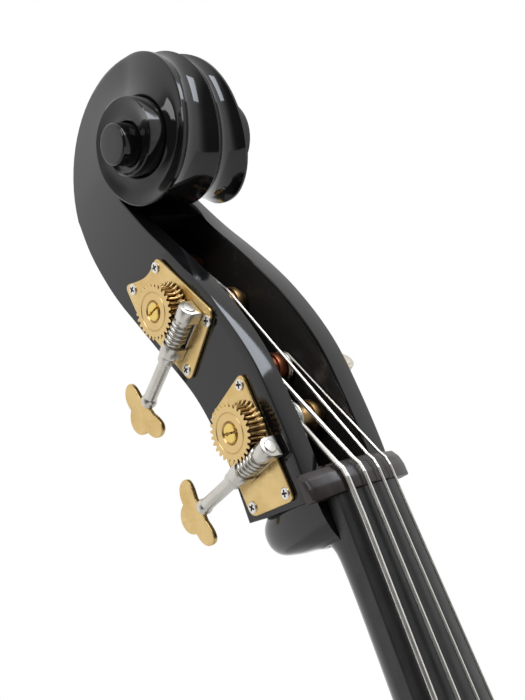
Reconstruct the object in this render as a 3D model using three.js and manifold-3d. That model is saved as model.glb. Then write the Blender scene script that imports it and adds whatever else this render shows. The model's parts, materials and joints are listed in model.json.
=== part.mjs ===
// Double bass, three-quarter size, upright on its endpin. Millimetres, +Z up, front towards -Y.
// The origin is the centre of the endpin tip's flat underside.
import * as THREE from 'three';
import { mergeVertices } from 'three/addons/utils/BufferGeometryUtils.js';
import Module from 'manifold-3d';

const wasm = await Module();
wasm.setup();

// ---- Driving dimensions: body -------------------------------------------------------------
const GAP = 0.3;
const WELD = 0.02;
const PIN_OUT = 180;
const BODY_LENGTH = 1110;
const BODY_TOP = PIN_OUT + BODY_LENGTH;
const RIB_DEPTH = 195;
const RIB_THICKNESS = 3;
const EDGE_OVERHANG = 6;
const PLATE_EDGE = 7;
const PLATE_THICKNESS = 8;
const ARCH_HEIGHT = 28;
const LOWER_BOUT = { half: 330, z: 250 };
const WAIST = { half: 182, z: 548 };
const UPPER_BOUT = { half: 256, z: 850 };
const LOWER_CORNER = { half: 296, z: 424 };
const UPPER_CORNER = { half: 238, z: 686 };
const CORNER_TIP = 14;
const BOUT_STEPS = 5;
const NECK_ROOT_HALF = 31;
const LINING_HEIGHT = 20;
const LINING_THICKNESS = 9;
const FRONT_Y = -RIB_DEPTH / 2;
const BACK_Y = RIB_DEPTH / 2;

// ---- Driving dimensions: strings, neck and head -------------------------------------------
const STRING_LENGTH = 1050;
const NECK_STOP = 430;
const NECK_TILT = THREE.MathUtils.degToRad(12);
const STRING_AT_BRIDGE = 195;
const NUT_SPACING = 10.45;
const BRIDGE_SPACING = 28.3;
const NUT_ARCH = 0.0077;
const BRIDGE_ARCH = 0.0058;
const BOARD_END_ARCH = 0.0055;
const STRING_RADII = [1.5, 1.15, 0.9, 0.75];
const NUT_Z = BODY_TOP + NECK_STOP * Math.cos(NECK_TILT);
const BRIDGE_Z = NUT_Z - STRING_LENGTH * Math.cos(NECK_TILT);
const NUT_Y = FRONT_Y - STRING_AT_BRIDGE + STRING_LENGTH * Math.sin(NECK_TILT);
const BOARD_LENGTH = 850;
const BOARD_HALF = { nut: 22, end: 46 };
const BOARD_CLEARANCE = { nut: 2.9, end: 9 };
const BOARD_SIDE = 9;
const NUT_HALF = 35;
const NUT_LENGTH = 15;
const CHEEK_HALF = 31.2;
const CHEEK_WALL = 13.5;
const CROWN_HALF = 14;
const SCROLL = { y: 40, z: 220.5, turn: 37, eye: 47, eyeRadius: 11.5 };
const SPIRAL_RADII = [85, 60, 37, 35, 31.5, 27, 25, 18.5, 17];

// ---- Driving dimensions: tuning machines --------------------------------------------------
const TEETH = 28;
const WHEEL_HALF = 5.4;
const WHEEL_MID = 8.3;
const WORM_CENTRES = 17.7;
const WORM_CREST = 5.6;
const WORM_ROOT = 4.3;
const WHEEL_TIP = 13;
const WORM_PITCH = 2 * Math.PI * (WHEEL_TIP - 0.45) / TEETH;
const THREAD_HALF = 7.1;
const BRACKET_HALF = 16;
const JOURNAL = 3.7;
const KEY_REACH = 51;
const KEY_GAUGE = 2.4;
const PLATE_GAUGE = 2;
const ARBOR_RADIUS = 5;
const ROLLER_RADIUS = 7;
const SLOT_HALF = CHEEK_HALF - CHEEK_WALL;

// ---- Materials ----------------------------------------------------------------------------
function finish(color, roughness, metalness = 0) {
  return new THREE.MeshStandardMaterial({ color, roughness, metalness });
}


const LACQUER = finish(0x0b0b0c, 0.12);
const BARE_WOOD = finish(0xb98d57, 0.7);
const EBONY = finish(0x1b1817, 0.42);
const MAPLE = finish(0xcf9e5f, 0.5);
const BRASS = finish(0xc9a24d, 0.3, 1);
const BRONZE = finish(0x8a6237, 0.4, 1);
const NICKEL = finish(0xb9b7b0, 0.28, 1);
const STRING_STEEL = finish(0xc4c2bc, 0.3, 1);
const RUBBER = finish(0x161616, 0.85);

// ---- Solid helpers ------------------------------------------------------------------------
function solid(geometry) {
  const bare = geometry.clone();
  bare.deleteAttribute('normal');
  bare.deleteAttribute('uv');
  const merged = mergeVertices(bare, 1e-4);
  const vertProperties = merged.attributes.position.array;
  const triVerts = new Uint32Array(merged.index.array);
  return new wasm.Manifold(new wasm.Mesh({ numProp: 3, vertProperties, triVerts }));
}

function surface(shape) {
  const mesh = shape.simplify(WELD).getMesh();
  const geometry = new THREE.BufferGeometry();
  geometry.setAttribute('position', new THREE.BufferAttribute(mesh.vertProperties, 3));
  geometry.setIndex(new THREE.BufferAttribute(mesh.triVerts, 1));
  geometry.computeVertexNormals();
  return geometry;
}

function cut(geometry, ...tools) {
  return surface(tools.reduce((body, tool) => body.subtract(solid(tool)), solid(geometry)));
}

function join(geometry, ...others) {
  return surface(others.reduce((body, other) => body.add(solid(other)), solid(geometry)));
}

function common(geometry, other) {
  return surface(solid(geometry).intersect(solid(other)));
}

function box(x0, x1, y0, y1, z0, z1) {
  return new THREE.BoxGeometry(x1 - x0, y1 - y0, z1 - z0)
    .translate((x0 + x1) / 2, (y0 + y1) / 2, (z0 + z1) / 2);
}

function signedVolume(position, index) {
  const corner = (i) => new THREE.Vector3().fromArray(position, 3 * index[i]);
  let volume = 0;
  for (let i = 0; i < index.length; i += 3) {
    volume += corner(i).dot(corner(i + 1).cross(corner(i + 2))) / 6;
  }
  return volume;
}

// A closed skin over a stack of rings; each ring holds the same number of points. Faces point outwards.
function skin(rings) {
  const count = rings[0].length;
  const position = [];
  const index = [];
  rings.forEach((ring) => ring.forEach((point) => position.push(point.x, point.y, point.z)));
  for (let ring = 0; ring + 1 < rings.length; ring += 1) {
    for (let i = 0; i < count; i += 1) {
      const a = ring * count + i;
      const b = ring * count + (i + 1) % count;
      index.push(a, b, b + count, a, b + count, a + count);
    }
  }
  [0, rings.length - 1].forEach((end) => {
    const centre = rings[end].reduce((sum, point) => sum.add(point), new THREE.Vector3()).divideScalar(count);
    const middle = position.length / 3;
    position.push(centre.x, centre.y, centre.z);
    for (let i = 0; i < count; i += 1) {
      const a = end * count + i;
      const b = end * count + (i + 1) % count;
      index.push(...(end === 0 ? [middle, b, a] : [middle, a, b]));
    }
  });
  if (signedVolume(position, index) < 0) index.reverse();
  const geometry = new THREE.BufferGeometry();
  geometry.setAttribute('position', new THREE.Float32BufferAttribute(position, 3));
  geometry.setIndex(index);
  geometry.computeVertexNormals();
  return geometry;
}

// An outline drawn in the (Y, Z) plane, given a width along X.
function sideSlab(shape, halfWidth, curveSegments = 12) {
  const onEdge = new THREE.Matrix4().makeBasis(
    new THREE.Vector3(0, 1, 0), new THREE.Vector3(0, 0, 1), new THREE.Vector3(1, 0, 0));
  return new THREE.ExtrudeGeometry(shape, { depth: 2 * halfWidth, bevelEnabled: false, curveSegments })
    .translate(0, 0, -halfWidth)
    .applyMatrix4(onEdge);
}

// An outline drawn in the (X, Z) plane, filling y0 to y1.
function frontSlab(shape, y0, y1, curveSegments = 12) {
  return new THREE.ExtrudeGeometry(shape, { depth: y1 - y0, bevelEnabled: false, curveSegments })
    .rotateX(Math.PI / 2)
    .translate(0, y1, 0);
}

// A round bar along +Z from z0 to z1.
function bar(radius, z0, z1, sides = 16) {
  return new THREE.CylinderGeometry(radius, radius, z1 - z0, sides)
    .rotateX(Math.PI / 2)
    .translate(0, 0, (z0 + z1) / 2);
}

// A turned piece: [radius, z] steps that start and end on the axis.
function turned(profile, sides = 16) {
  const points = profile.map(([r, z]) => new THREE.Vector2(r, z));
  return new THREE.LatheGeometry(points, sides).rotateX(Math.PI / 2);
}

// A path through listed points, sampled exactly at them.
class Route extends THREE.Curve {
  constructor(points) {
    super();
    this.points = points;
  }

  getPoint(t) {
    const place = t * (this.points.length - 1);
    const first = Math.min(Math.floor(place), this.points.length - 2);
    return this.points[first].clone().lerp(this.points[first + 1], place - first);
  }

  getPointAt(t) {
    return this.getPoint(t);
  }

  getTangent(t) {
    const step = 0.5 / (this.points.length - 1);
    const before = this.getPoint(Math.max(t - step, 0));
    return this.getPoint(Math.min(t + step, 1)).sub(before).normalize();
  }

  getTangentAt(t) {
    return this.getTangent(t);
  }

  getSpacedPoints() {
    return this.points.map((point) => point.clone());
  }
}

function cord(points, radius, sides = 6) {
  const circle = new THREE.Shape(Array.from({ length: sides }, (_, i) => new THREE.Vector2(
    radius * Math.cos(2 * Math.PI * i / sides), radius * Math.sin(2 * Math.PI * i / sides))));
  const extrudePath = new Route(points);
  return new THREE.ExtrudeGeometry(circle, { steps: points.length - 1, bevelEnabled: false, extrudePath });
}

const vec = (x, y, z) => new THREE.Vector3(x, y, z);
const mix = (a, b, t) => a + (b - a) * t;

function piece(name, geometry, material, parent) {
  const mesh = new THREE.Mesh(geometry, material);
  mesh.name = name;
  parent.add(mesh);
  return mesh;
}

// ---- Frames -------------------------------------------------------------------------------
const bass = new THREE.Group();
const head = new THREE.Group();
head.position.set(0, NUT_Y, NUT_Z);
head.rotation.x = -NECK_TILT;
head.updateMatrixWorld(true);
bass.add(head);
const intoHead = head.matrixWorld.clone().invert();

// ---- Body outline -------------------------------------------------------------------------
// The right half as three curves that run from the endpin to the neck: lower bout, waist, upper bout.
function boutCurves() {
  const point = (half, z) => new THREE.Vector2(half, PIN_OUT + z);
  const curve = (a, b, c, d) => new THREE.CubicBezierCurve(a, b, c, d);
  const lower = [
    curve(point(0, 0), point(190, 0), point(LOWER_BOUT.half, 95), point(LOWER_BOUT.half, LOWER_BOUT.z)),
    curve(point(LOWER_BOUT.half, LOWER_BOUT.z), point(LOWER_BOUT.half, 330), point(286, 370),
      point(LOWER_CORNER.half, LOWER_CORNER.z)),
  ];
  const waist = [
    curve(point(LOWER_CORNER.half - 8, LOWER_CORNER.z + CORNER_TIP), point(236, 436), point(WAIST.half, 480),
      point(WAIST.half, WAIST.z)),
    curve(point(WAIST.half, WAIST.z), point(WAIST.half, 612), point(198, 654),
      point(UPPER_CORNER.half - 8, UPPER_CORNER.z - CORNER_TIP)),
  ];
  const upper = [
    curve(point(UPPER_CORNER.half, UPPER_CORNER.z), point(236, 730), point(UPPER_BOUT.half, 780),
      point(UPPER_BOUT.half, UPPER_BOUT.z)),
    curve(point(UPPER_BOUT.half, UPPER_BOUT.z), point(UPPER_BOUT.half, 985), point(100, 1062),
      point(NECK_ROOT_HALF, BODY_LENGTH)),
  ];
  const sampled = (part, i) => part.getPoints(BOUT_STEPS).slice(i ? 1 : 0);
  return [lower, waist, upper].map((parts) => parts.flatMap(sampled));
}

function moveInwards(points, inset) {
  return points.map((point, i) => {
    const before = points[Math.max(i - 1, 0)];
    const after = points[Math.min(i + 1, points.length - 1)];
    const along = after.clone().sub(before).normalize();
    return new THREE.Vector2(point.x - inset * along.y, point.y + inset * along.x);
  });
}

function crossing(a, b, c, d) {
  const r = b.clone().sub(a);
  const s = d.clone().sub(c);
  const across = r.cross(s);
  if (Math.abs(across) < 1e-9) return null;
  const gap = c.clone().sub(a);
  const t = gap.cross(s) / across;
  const u = gap.cross(r) / across;
  return t >= 0 && t <= 1 && u >= 0 && u <= 1 ? a.clone().addScaledVector(r, t) : null;
}

// Two neighbouring curves, each trimmed where they cross, or where their straight ends would meet.
function trimmed(first, second) {
  const reach = 30;
  const far = first.at(-1).clone().addScaledVector(first.at(-1).clone().sub(first.at(-2)).normalize(), reach);
  const near = second[0].clone().addScaledVector(second[0].clone().sub(second[1]).normalize(), reach);
  const one = [...first, far];
  const two = [near, ...second];
  for (let i = one.length - 2; i >= 0; i -= 1) {
    for (let j = 0; j + 1 < two.length; j += 1) {
      const meet = crossing(one[i], one[i + 1], two[j], two[j + 1]);
      if (meet) return [[...one.slice(0, i + 1), meet], [meet, ...two.slice(j + 1)]];
    }
  }
  return [first, second];
}

// The right half of the body's outline, from the bottom to the neck, moved inwards by inset.
function halfOutline(inset) {
  let [lower, waist, upper] = boutCurves();
  if (inset > 0) {
    [lower, waist, upper] = [lower, waist, upper].map((points) => moveInwards(points, inset));
    [lower, waist] = trimmed(lower, waist);
    [waist, upper] = trimmed(waist, upper);
    waist = waist.slice(1, -1);
  }
  const half = [...lower, ...waist, ...upper].filter((point) => point.x > 0.5 && point.y < BODY_TOP - inset);
  return [new THREE.Vector2(0, PIN_OUT + inset), ...half,
    new THREE.Vector2(NECK_ROOT_HALF, BODY_TOP - inset)];
}

function bodyShape(inset) {
  const right = halfOutline(inset);
  const left = right.slice(1).reverse().map((point) => new THREE.Vector2(-point.x, point.y));
  return new THREE.Shape([...right, ...left]);
}

function bodyRing(outerInset, innerInset, y0, y1) {
  return cut(frontSlab(bodyShape(outerInset), y0, y1), frontSlab(bodyShape(innerInset), y0 - 5, y1 + 5));
}

// ---- Plates -------------------------------------------------------------------------------
function archHeight(along, across) {
  const lengthwise = Math.sin(Math.PI * Math.min(Math.max(along, 0), 1)) ** 0.6;
  const crosswise = 0.5 + 0.5 * Math.cos(Math.PI * Math.min(Math.abs(across), 1));
  return ARCH_HEIGHT * lengthwise * crosswise ** 0.8;
}

// An arched plate: rows across the body between its outline's halves, its two skins joined at the edge.
// side is -1 for the top, +1 for the back; edgeY is the rib edge that it lies on.
function archedPlate(side, edgeY, thickness = PLATE_THICKNESS) {
  const rows = halfOutline(0).slice(1);
  const columns = 6;
  const stations = Array.from({ length: columns + 1 }, (_, i) => Math.sin(Math.PI * (i / columns - 0.5)));
  const rise = (point, across) => archHeight((point.y - PIN_OUT) / BODY_LENGTH, across);
  const skinPoint = (point, across, outer) => {
    const arch = rise(point, across);
    const depth = outer ? PLATE_EDGE + arch : Math.max(arch - thickness + PLATE_EDGE, 0);
    return vec(point.x * across, edgeY + side * (GAP + depth), point.y);
  };
  const rings = rows.map((point) => [
    ...stations.map((across) => skinPoint(point, across, false)),
    ...stations.toReversed().map((across) => skinPoint(point, across, true)),
  ]);
  return skin(rings);
}

function soundHole(side) {
  const upperEye = { x: 62, z: BRIDGE_Z + 88, r: 9 };
  const lowerEye = { x: 124, z: BRIDGE_Z - 84, r: 13 };
  const stem = new THREE.CubicBezierCurve(
    new THREE.Vector2(upperEye.x - 4, upperEye.z + 16), new THREE.Vector2(112, upperEye.z + 34),
    new THREE.Vector2(74, lowerEye.z - 36), new THREE.Vector2(lowerEye.x + 6, lowerEye.z - 20));
  const centre = stem.getPoints(9);
  const half = (i) => 3 + 2.6 * Math.sin(Math.PI * i / (centre.length - 1));
  const edge = (way) => centre.map((point, i) => {
    const tangent = stem.getTangent(i / (centre.length - 1));
    return new THREE.Vector2(point.x - way * half(i) * tangent.y, point.y + way * half(i) * tangent.x);
  });
  const slot = new THREE.Shape([...edge(1), ...edge(-1).reverse()]);
  const eyes = [upperEye, lowerEye].map((eye) => {
    const disc = new THREE.Shape();
    disc.absarc(eye.x, eye.z, eye.r, 0, 2 * Math.PI, false);
    return disc;
  });
  const tools = [slot, ...eyes].map((shape) => frontSlab(shape, FRONT_Y - 60, FRONT_Y + 5, 6));
  return side > 0 ? tools : tools.map((tool) => mirrorX(tool));
}

function mirrorX(geometry) {
  const flipped = geometry.clone().applyMatrix4(new THREE.Matrix4().makeScale(-1, 1, 1));
  const indexed = flipped.index ? flipped : mergeVertices(flipped);
  const order = indexed.index.array;
  for (let i = 0; i < order.length; i += 3) {
    [order[i], order[i + 1]] = [order[i + 1], order[i]];
  }
  indexed.computeVertexNormals();
  return indexed;
}

function buildBox() {
  const innerInset = EDGE_OVERHANG + RIB_THICKNESS;
  const pinHole = bar(14.5, PIN_OUT - 20, PIN_OUT + 120, 20);
  const tenon = neckTenon(GAP);
  const top = archedPlate(-1, FRONT_Y);
  const saddleBed = box(-26 - GAP, 26 + GAP, FRONT_Y - 30, FRONT_Y + 1, PIN_OUT - 5, PIN_OUT + 14 + GAP);
  const openings = [...soundHole(1), ...soundHole(-1), neckHeelCutter(), saddleBed];
  piece('top_plate', cut(top, ...openings), LACQUER, bass);
  const button = new THREE.Shape();
  button.absarc(0, BODY_TOP - 4, 27, 0, Math.PI, false);
  const buttonDisc = frontSlab(button, BACK_Y + GAP, BACK_Y + GAP + PLATE_EDGE - 0.5);
  piece('back_plate', join(archedPlate(1, BACK_Y), buttonDisc), LACQUER, bass);
  const ribs = bodyRing(EDGE_OVERHANG, innerInset, FRONT_Y, BACK_Y);
  piece('ribs', cut(ribs, pinHole, tenon), LACQUER, bass);
  const liningOuter = innerInset + GAP;
  const liningInner = liningOuter + LINING_THICKNESS;
  piece('front_lining', cut(bodyRing(liningOuter, liningInner, FRONT_Y, FRONT_Y + LINING_HEIGHT), tenon),
    BARE_WOOD, bass);
  piece('back_lining', bodyRing(liningOuter, liningInner, BACK_Y - LINING_HEIGHT, BACK_Y), BARE_WOOD, bass);
  buildBlocks(innerInset + GAP, pinHole, tenon);
}

function buildBlocks(inset, pinHole, tenon) {
  const y0 = FRONT_Y + LINING_HEIGHT + GAP;
  const y1 = BACK_Y - LINING_HEIGHT - GAP;
  const filled = () => frontSlab(bodyShape(inset), y0, y1);
  const within = (x0, x1, z0, z1) => common(filled(), box(x0, x1, y0 - 5, y1 + 5, z0, z1));
  piece('neck_block', cut(within(-75, 75, BODY_TOP - 95, BODY_TOP), tenon), BARE_WOOD, bass);
  piece('end_block', cut(within(-65, 65, PIN_OUT, PIN_OUT + 52), pinHole), BARE_WOOD, bass);
  const corners = {
    lower: [LOWER_CORNER.half - 42, LOWER_CORNER.half + 10, LOWER_CORNER.z - 30, LOWER_CORNER.z + 30],
    upper: [UPPER_CORNER.half - 36, UPPER_CORNER.half + 10, UPPER_CORNER.z - 30, UPPER_CORNER.z + 30],
  };
  Object.entries(corners).forEach(([level, [x0, x1, z0, z1]]) => {
    const block = within(x0, x1, PIN_OUT + z0, PIN_OUT + z1);
    piece(`treble_${level}_corner_block`, block, BARE_WOOD, bass);
    piece(`bass_${level}_corner_block`, mirrorX(block), BARE_WOOD, bass);
  });
}

// The top's inner face at (x, z), as a depth in front of the rib edge.
function innerArch(x, z) {
  const outline = halfOutline(0);
  const above = outline.findIndex((point) => point.y >= z);
  const low = outline[above - 1];
  const high = outline[above];
  const half = mix(low.x, high.x, (z - low.y) / (high.y - low.y));
  return Math.max(archHeight((z - PIN_OUT) / BODY_LENGTH, x / half) - PLATE_THICKNESS + PLATE_EDGE, 0);
}

function buildInsides() {
  const barX = -58;
  const low = BRIDGE_Z - 330;
  const high = BRIDGE_Z + 400;
  const rings = Array.from({ length: 17 }, (_, i) => {
    const t = i / 16;
    const z = mix(low, high, t);
    const top = (x) => vec(x, FRONT_Y - GAP - innerArch(x, z) - 1.5, z);
    const deep = top(barX).y + 12 + 24 * Math.sin(Math.PI * t);
    return [top(barX - 11), top(barX + 11), vec(barX + 8, deep, z), vec(barX - 8, deep, z)];
  });
  const glued = archedPlate(-1, FRONT_Y).translate(0, GAP, 0);
  piece('bass_bar', cut(skin(rings), glued), BARE_WOOD, bass);
  const post = { x: 52, z: BRIDGE_Z - 28, r: 9 };
  const reach = BACK_Y + innerArch(post.x, post.z) + 3;
  const stick = new THREE.CylinderGeometry(post.r, post.r, 2 * reach, 16).translate(post.x, 0, post.z);
  const back = archedPlate(1, BACK_Y).translate(0, -GAP, 0);
  piece('sound_post', cut(stick, glued, back), BARE_WOOD, bass);
}

// ---- Neck, pegbox and scroll --------------------------------------------------------------
const BOARD_SLOPE = (BOARD_CLEARANCE.end + 11.7 - BOARD_CLEARANCE.nut - 3.7) / BOARD_LENGTH;
const boardUnder = (z) => BOARD_CLEARANCE.nut + 3.7 + BOARD_SIDE - BOARD_SLOPE * z;

function spiralPoint(turns) {
  const place = turns * 4;
  const first = Math.min(Math.floor(place), SPIRAL_RADII.length - 2);
  const at = (i) => SPIRAL_RADII[Math.min(Math.max(i, 0), SPIRAL_RADII.length - 1)];
  const t = place - first;
  const slopeIn = (at(first + 1) - at(first - 1)) / 2;
  const slopeOut = (at(first + 2) - at(first)) / 2;
  const radius = (2 * t ** 3 - 3 * t ** 2 + 1) * at(first) + (t ** 3 - 2 * t ** 2 + t) * slopeIn
    + (3 * t ** 2 - 2 * t ** 3) * at(first + 1) + (t ** 3 - t ** 2) * slopeOut;
  const angle = 2 * Math.PI * turns;
  return new THREE.Vector2(SCROLL.y + radius * Math.cos(angle), SCROLL.z + radius * Math.sin(angle));
}

function spiral(from, to, steps) {
  return Array.from({ length: steps + 1 }, (_, i) => spiralPoint(mix(from, to, i / steps)));
}

function spline(points, count) {
  return new THREE.SplineCurve(points.map(([y, z]) => new THREE.Vector2(y, z))).getPoints(count);
}

// Side view of the pegbox with the scroll's first turn: the rim, the scroll from its throat round to the
// back, and the back edge down to the foot of the cheeks.
function headShape() {
  const rim = spline([[15, 3], [14.7, 48], [17.6, 84], [28.8, 120], [45.5, 153], [60.5, 179], [73, 204]], 20);
  const scroll = spiral(0.95, 0, 40);
  const back = spline([[125, 220.5], [120, 195], [110, 167], [98, 141], [86, 115], [72, 84], [66.5, 60],
    [65, 36], [66.5, 7]], 20).slice(1);
  return new THREE.Shape([...rim, ...scroll, ...back]);
}

// Half-width of the head's outer faces: the cheeks are parallel, then draw in towards the crown and widen
// again as the scroll winds inwards.
function headHalf(y, z) {
  const outwards = Math.hypot(y - SCROLL.y, z - SCROLL.z) > 20 ? 1 : 0;
  const angle = Math.atan2(z - SCROLL.z, y - SCROLL.y);
  if (z < 165) return CHEEK_HALF;
  const turn = ((angle + 2 * Math.PI) % (2 * Math.PI)) / (2 * Math.PI);
  const wound = turn > 0.9 ? 0 : turn;
  const rising = mix(CHEEK_HALF, 23, Math.min((z - 165) / 55, 1));
  const winding = wound < 0.25
    ? mix(23, CROWN_HALF, wound / 0.25)
    : mix(CROWN_HALF, 30, Math.min((wound - 0.25) / 0.5, 1));
  return outwards && y > 80 && z < SCROLL.z ? rising : winding;
}

function pegboxSlot() {
  const floor = spline([[50, 19], [52, 58], [62, 86], [69.5, 110], [82, 138], [96, 172], [98, 188]], 14);
  const shape = new THREE.Shape([new THREE.Vector2(-5, 19), ...floor,
    ...[[90, 197], [76, 199], [66, 194], [56, 182], [36, 158], [10, 116], [-5, 100]]
      .map(([y, z]) => new THREE.Vector2(y, z))]);
  return sideSlab(shape, SLOT_HALF);
}

// Neck sections from the chin under the pegbox to the heel, flat under the fingerboard and round behind.
function neckLoft() {
  const stations = [
    { z: 12, back: 66, half: 27 }, { z: 3, back: 78, half: 27.5 }, { z: -6, back: 79, half: 27 },
    { z: -13, back: 73, half: 25.5 }, { z: -17, back: 62, half: 24 }, { z: -20, back: 46, half: 22.8 },
    { z: -26, back: 38, half: 22 }, { z: -90, back: 38, half: 22.4 }, { z: -200, back: 43, half: 25 },
    { z: -310, back: 51, half: 28.4 }, { z: -440, back: 60, half: NECK_ROOT_HALF },
  ];
  const around = 14;
  const rings = stations.map(({ z, back, half }) => {
    const top = boardUnder(z) + GAP;
    const depth = back - top;
    return Array.from({ length: around + 1 }, (_, i) => {
      const angle = Math.PI * i / around;
      const x = half * Math.sign(Math.cos(angle)) * Math.abs(Math.cos(angle)) ** 0.75;
      return vec(x, top + depth * Math.sin(angle) ** 0.75, z);
    });
  });
  return skin(rings);
}

// The heel in the row's own frame, from the neck's back down to the button.
const HEEL_FOOT = BODY_TOP - EDGE_OVERHANG + GAP;

function heel() {
  const shape = new THREE.Shape();
  shape.moveTo(FRONT_Y - 27, HEEL_FOOT - 10);
  shape.lineTo(BACK_Y, HEEL_FOOT - 10);
  shape.lineTo(BACK_Y, HEEL_FOOT + 26);
  shape.bezierCurveTo(
    BACK_Y - 95, HEEL_FOOT + 34,
    FRONT_Y + 22, HEEL_FOOT + 62,
    FRONT_Y + 6, HEEL_FOOT + 150,
  );
  shape.lineTo(FRONT_Y - 6, HEEL_FOOT + 150);
  const slab = sideSlab(shape, NECK_ROOT_HALF - 1, 10);
  const place = slab.attributes.position;
  for (let i = 0; i < place.count; i += 1) {
    const t = Math.min(Math.max((place.getY(i) - FRONT_Y) / RIB_DEPTH, 0), 1);
    place.setX(i, place.getX(i) * mix(1, 0.72, t));
  }
  return slab;
}

function neckTenon(growth) {
  return box(-24 - growth, 24 + growth, FRONT_Y + 4 - growth, BACK_Y - LINING_HEIGHT - 8 + growth,
    BODY_TOP - 38 - growth, BODY_TOP + 8);
}

// Clears the top plate's edge away from the neck root.
function neckHeelCutter() {
  const half = NECK_ROOT_HALF + 4;
  return box(-half, half, FRONT_Y - 60, FRONT_Y + 3, BODY_TOP - 10, BODY_TOP + 10);
}

// The scroll's second turn and its eye, standing out of both faces.
function scrollTurn() {
  const turnDisc = sideSlab(new THREE.Shape(spiral(1.0, 2.0, 30)), SCROLL.turn);
  const eye = bar(SCROLL.eyeRadius, -SCROLL.eye, SCROLL.eye, 20)
    .rotateY(Math.PI / 2)
    .translate(0, SCROLL.y, SCROLL.z);
  return join(turnDisc, eye);
}

function buildNeckAndScroll() {
  const slab = sideSlab(headShape(), CHEEK_HALF);
  const place = slab.attributes.position;
  for (let i = 0; i < place.count; i += 1) {
    const half = headHalf(place.getY(i), place.getZ(i));
    place.setX(i, Math.sign(place.getX(i)) * half);
  }
  const rollerHoles = MACHINES.flatMap(rollerHole);
  const carved = cut(join(slab, scrollTurn()), pegboxSlot());
  const bed = box(-CHEEK_HALF - 1, CHEEK_HALF + 1, 5, boardUnder(0) + GAP, -5, NUT_LENGTH + GAP);
  const whole = join(carved, neckLoft(), heel().applyMatrix4(intoHead));
  const belowHeel = box(-200, 200, FRONT_Y - 200, BACK_Y + 50, BODY_TOP - 400, HEEL_FOOT)
    .applyMatrix4(intoHead);
  const tenon = neckTenon(0).applyMatrix4(intoHead);
  piece('neck_and_scroll', join(cut(whole, bed, belowHeel, ...rollerHoles), tenon), LACQUER, head);
}

// ---- Fingerboard, nut and saddle ----------------------------------------------------------
function boardSection(half, clearance, arch, under, z) {
  const count = 10;
  const top = Array.from({ length: count + 1 }, (_, i) => {
    const x = mix(-half, half, i / count);
    return vec(x, clearance + arch * x * x, z);
  });
  return [...top, vec(half, under, z), vec(-half, under, z)];
}

function buildFingerboard() {
  const stations = [0, -NECK_STOP, -BOARD_LENGTH];
  const rings = stations.map((z) => {
    const t = -z / BOARD_LENGTH;
    const half = mix(BOARD_HALF.nut, BOARD_HALF.end, t);
    const clearance = mix(BOARD_CLEARANCE.nut, BOARD_CLEARANCE.end, t);
    return boardSection(half, clearance, mix(NUT_ARCH, BOARD_END_ARCH, t), boardUnder(z), z - GAP);
  });
  piece('fingerboard', skin(rings), EBONY, head);
}

// The nut's top follows the strings: level under the board's end, then rounded down towards the rollers.
function buildNut() {
  const under = boardUnder(0);
  const rings = Array.from({ length: 11 }, (_, i) => {
    const x = mix(-NUT_HALF, NUT_HALF, i / 10);
    const top = STRING_RADII[0] + GAP + 0.0068 * x * x;
    return [[under, 0], [top, 0], [top, 6], [top + 1.4, 11], [top + 4.6, NUT_LENGTH], [under, NUT_LENGTH]]
      .map(([y, z]) => vec(x, y, z));
  });
  piece('nut', skin(rings), EBONY, head);
}

// ---- Tuning machines ----------------------------------------------------------------------
// Each plate: the worm's slope, and its corners as (y, z) from the wheel's centre, in order round it.
const LOWER_BASS_PLATE = { worm: -7.4, corners: [[-11.6, 27.4], [24.5, 17], [22, -40.6], [-13.6, -43.4]] };
const LOWER_TREBLE_PLATE = {
  worm: -24.2, corners: [[-14, 28], [24, 22], [14.5, -14], [11, -41], [-20, -43], [-31, -14]],
};
const UPPER_BASS_PLATE = {
  worm: -24.2, corners: [[-4.5, 30.3], [10, 25.5], [30.3, 31], [28.8, 6.7], [6.8, -40.2], [-31.3, -17.2]],
};
const UPPER_TREBLE_PLATE = {
  worm: -24.2, corners: [[-4.5, 30.3], [10, 25.5], [30.3, 31], [24, 6.7], [3, -40.2], [-31.3, -17.2]],
};
// Each machine stands on a cheek, its wheel's centre at (y, z). The string starts round the roller at rollerX
// and winds sideways; collar is how far the roller's flange is from the middle, away from the machine.
const MACHINES = [
  {
    name: 'string_e', side: -1, y: 38, z: 49, plate: LOWER_BASS_PLATE,
    string: 0, rollerX: -9, wind: 1, collar: 8,
  },
  {
    name: 'string_g', side: 1, y: 46.5, z: 81.5, plate: LOWER_TREBLE_PLATE,
    string: 3, rollerX: 16, wind: -1, collar: -9,
  },
  {
    name: 'string_a', side: -1, y: 60.5, z: 129, plate: UPPER_BASS_PLATE,
    string: 1, rollerX: -14, wind: 1, collar: 8,
  },
  {
    name: 'string_d', side: 1, y: 83, z: 165, plate: UPPER_TREBLE_PLATE,
    string: 2, rollerX: 4, wind: -1, collar: 8,
  },
];

function rollerHole({ side, y, z }) {
  const along = new THREE.Matrix4().makeRotationY(side * Math.PI / 2).setPosition(0, y, z);
  return [bar(ARBOR_RADIUS + GAP, -SLOT_HALF - 8, CHEEK_HALF + 5, 12).applyMatrix4(along)];
}

// Machine frame: X along the worm towards the key, Z out of the cheek, origin on the wheel's axis at the
// cheek. Pieces are drawn for the treble cheek and mirrored for the bass cheek.
function machineGroup({ side, y, z, plate }) {
  const slope = THREE.MathUtils.degToRad(plate.worm);
  const along = vec(0, Math.cos(slope), Math.sin(slope));
  const up = vec(0, -Math.sin(slope), Math.cos(slope));
  const group = new THREE.Group();
  const basis = side > 0
    ? new THREE.Matrix4().makeBasis(along, up, vec(1, 0, 0))
    : new THREE.Matrix4().makeBasis(along, up.clone().negate(), vec(-1, 0, 0));
  group.quaternion.setFromRotationMatrix(basis);
  group.position.set(side * CHEEK_HALF, y, z);
  head.add(group);
  return group;
}

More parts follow.
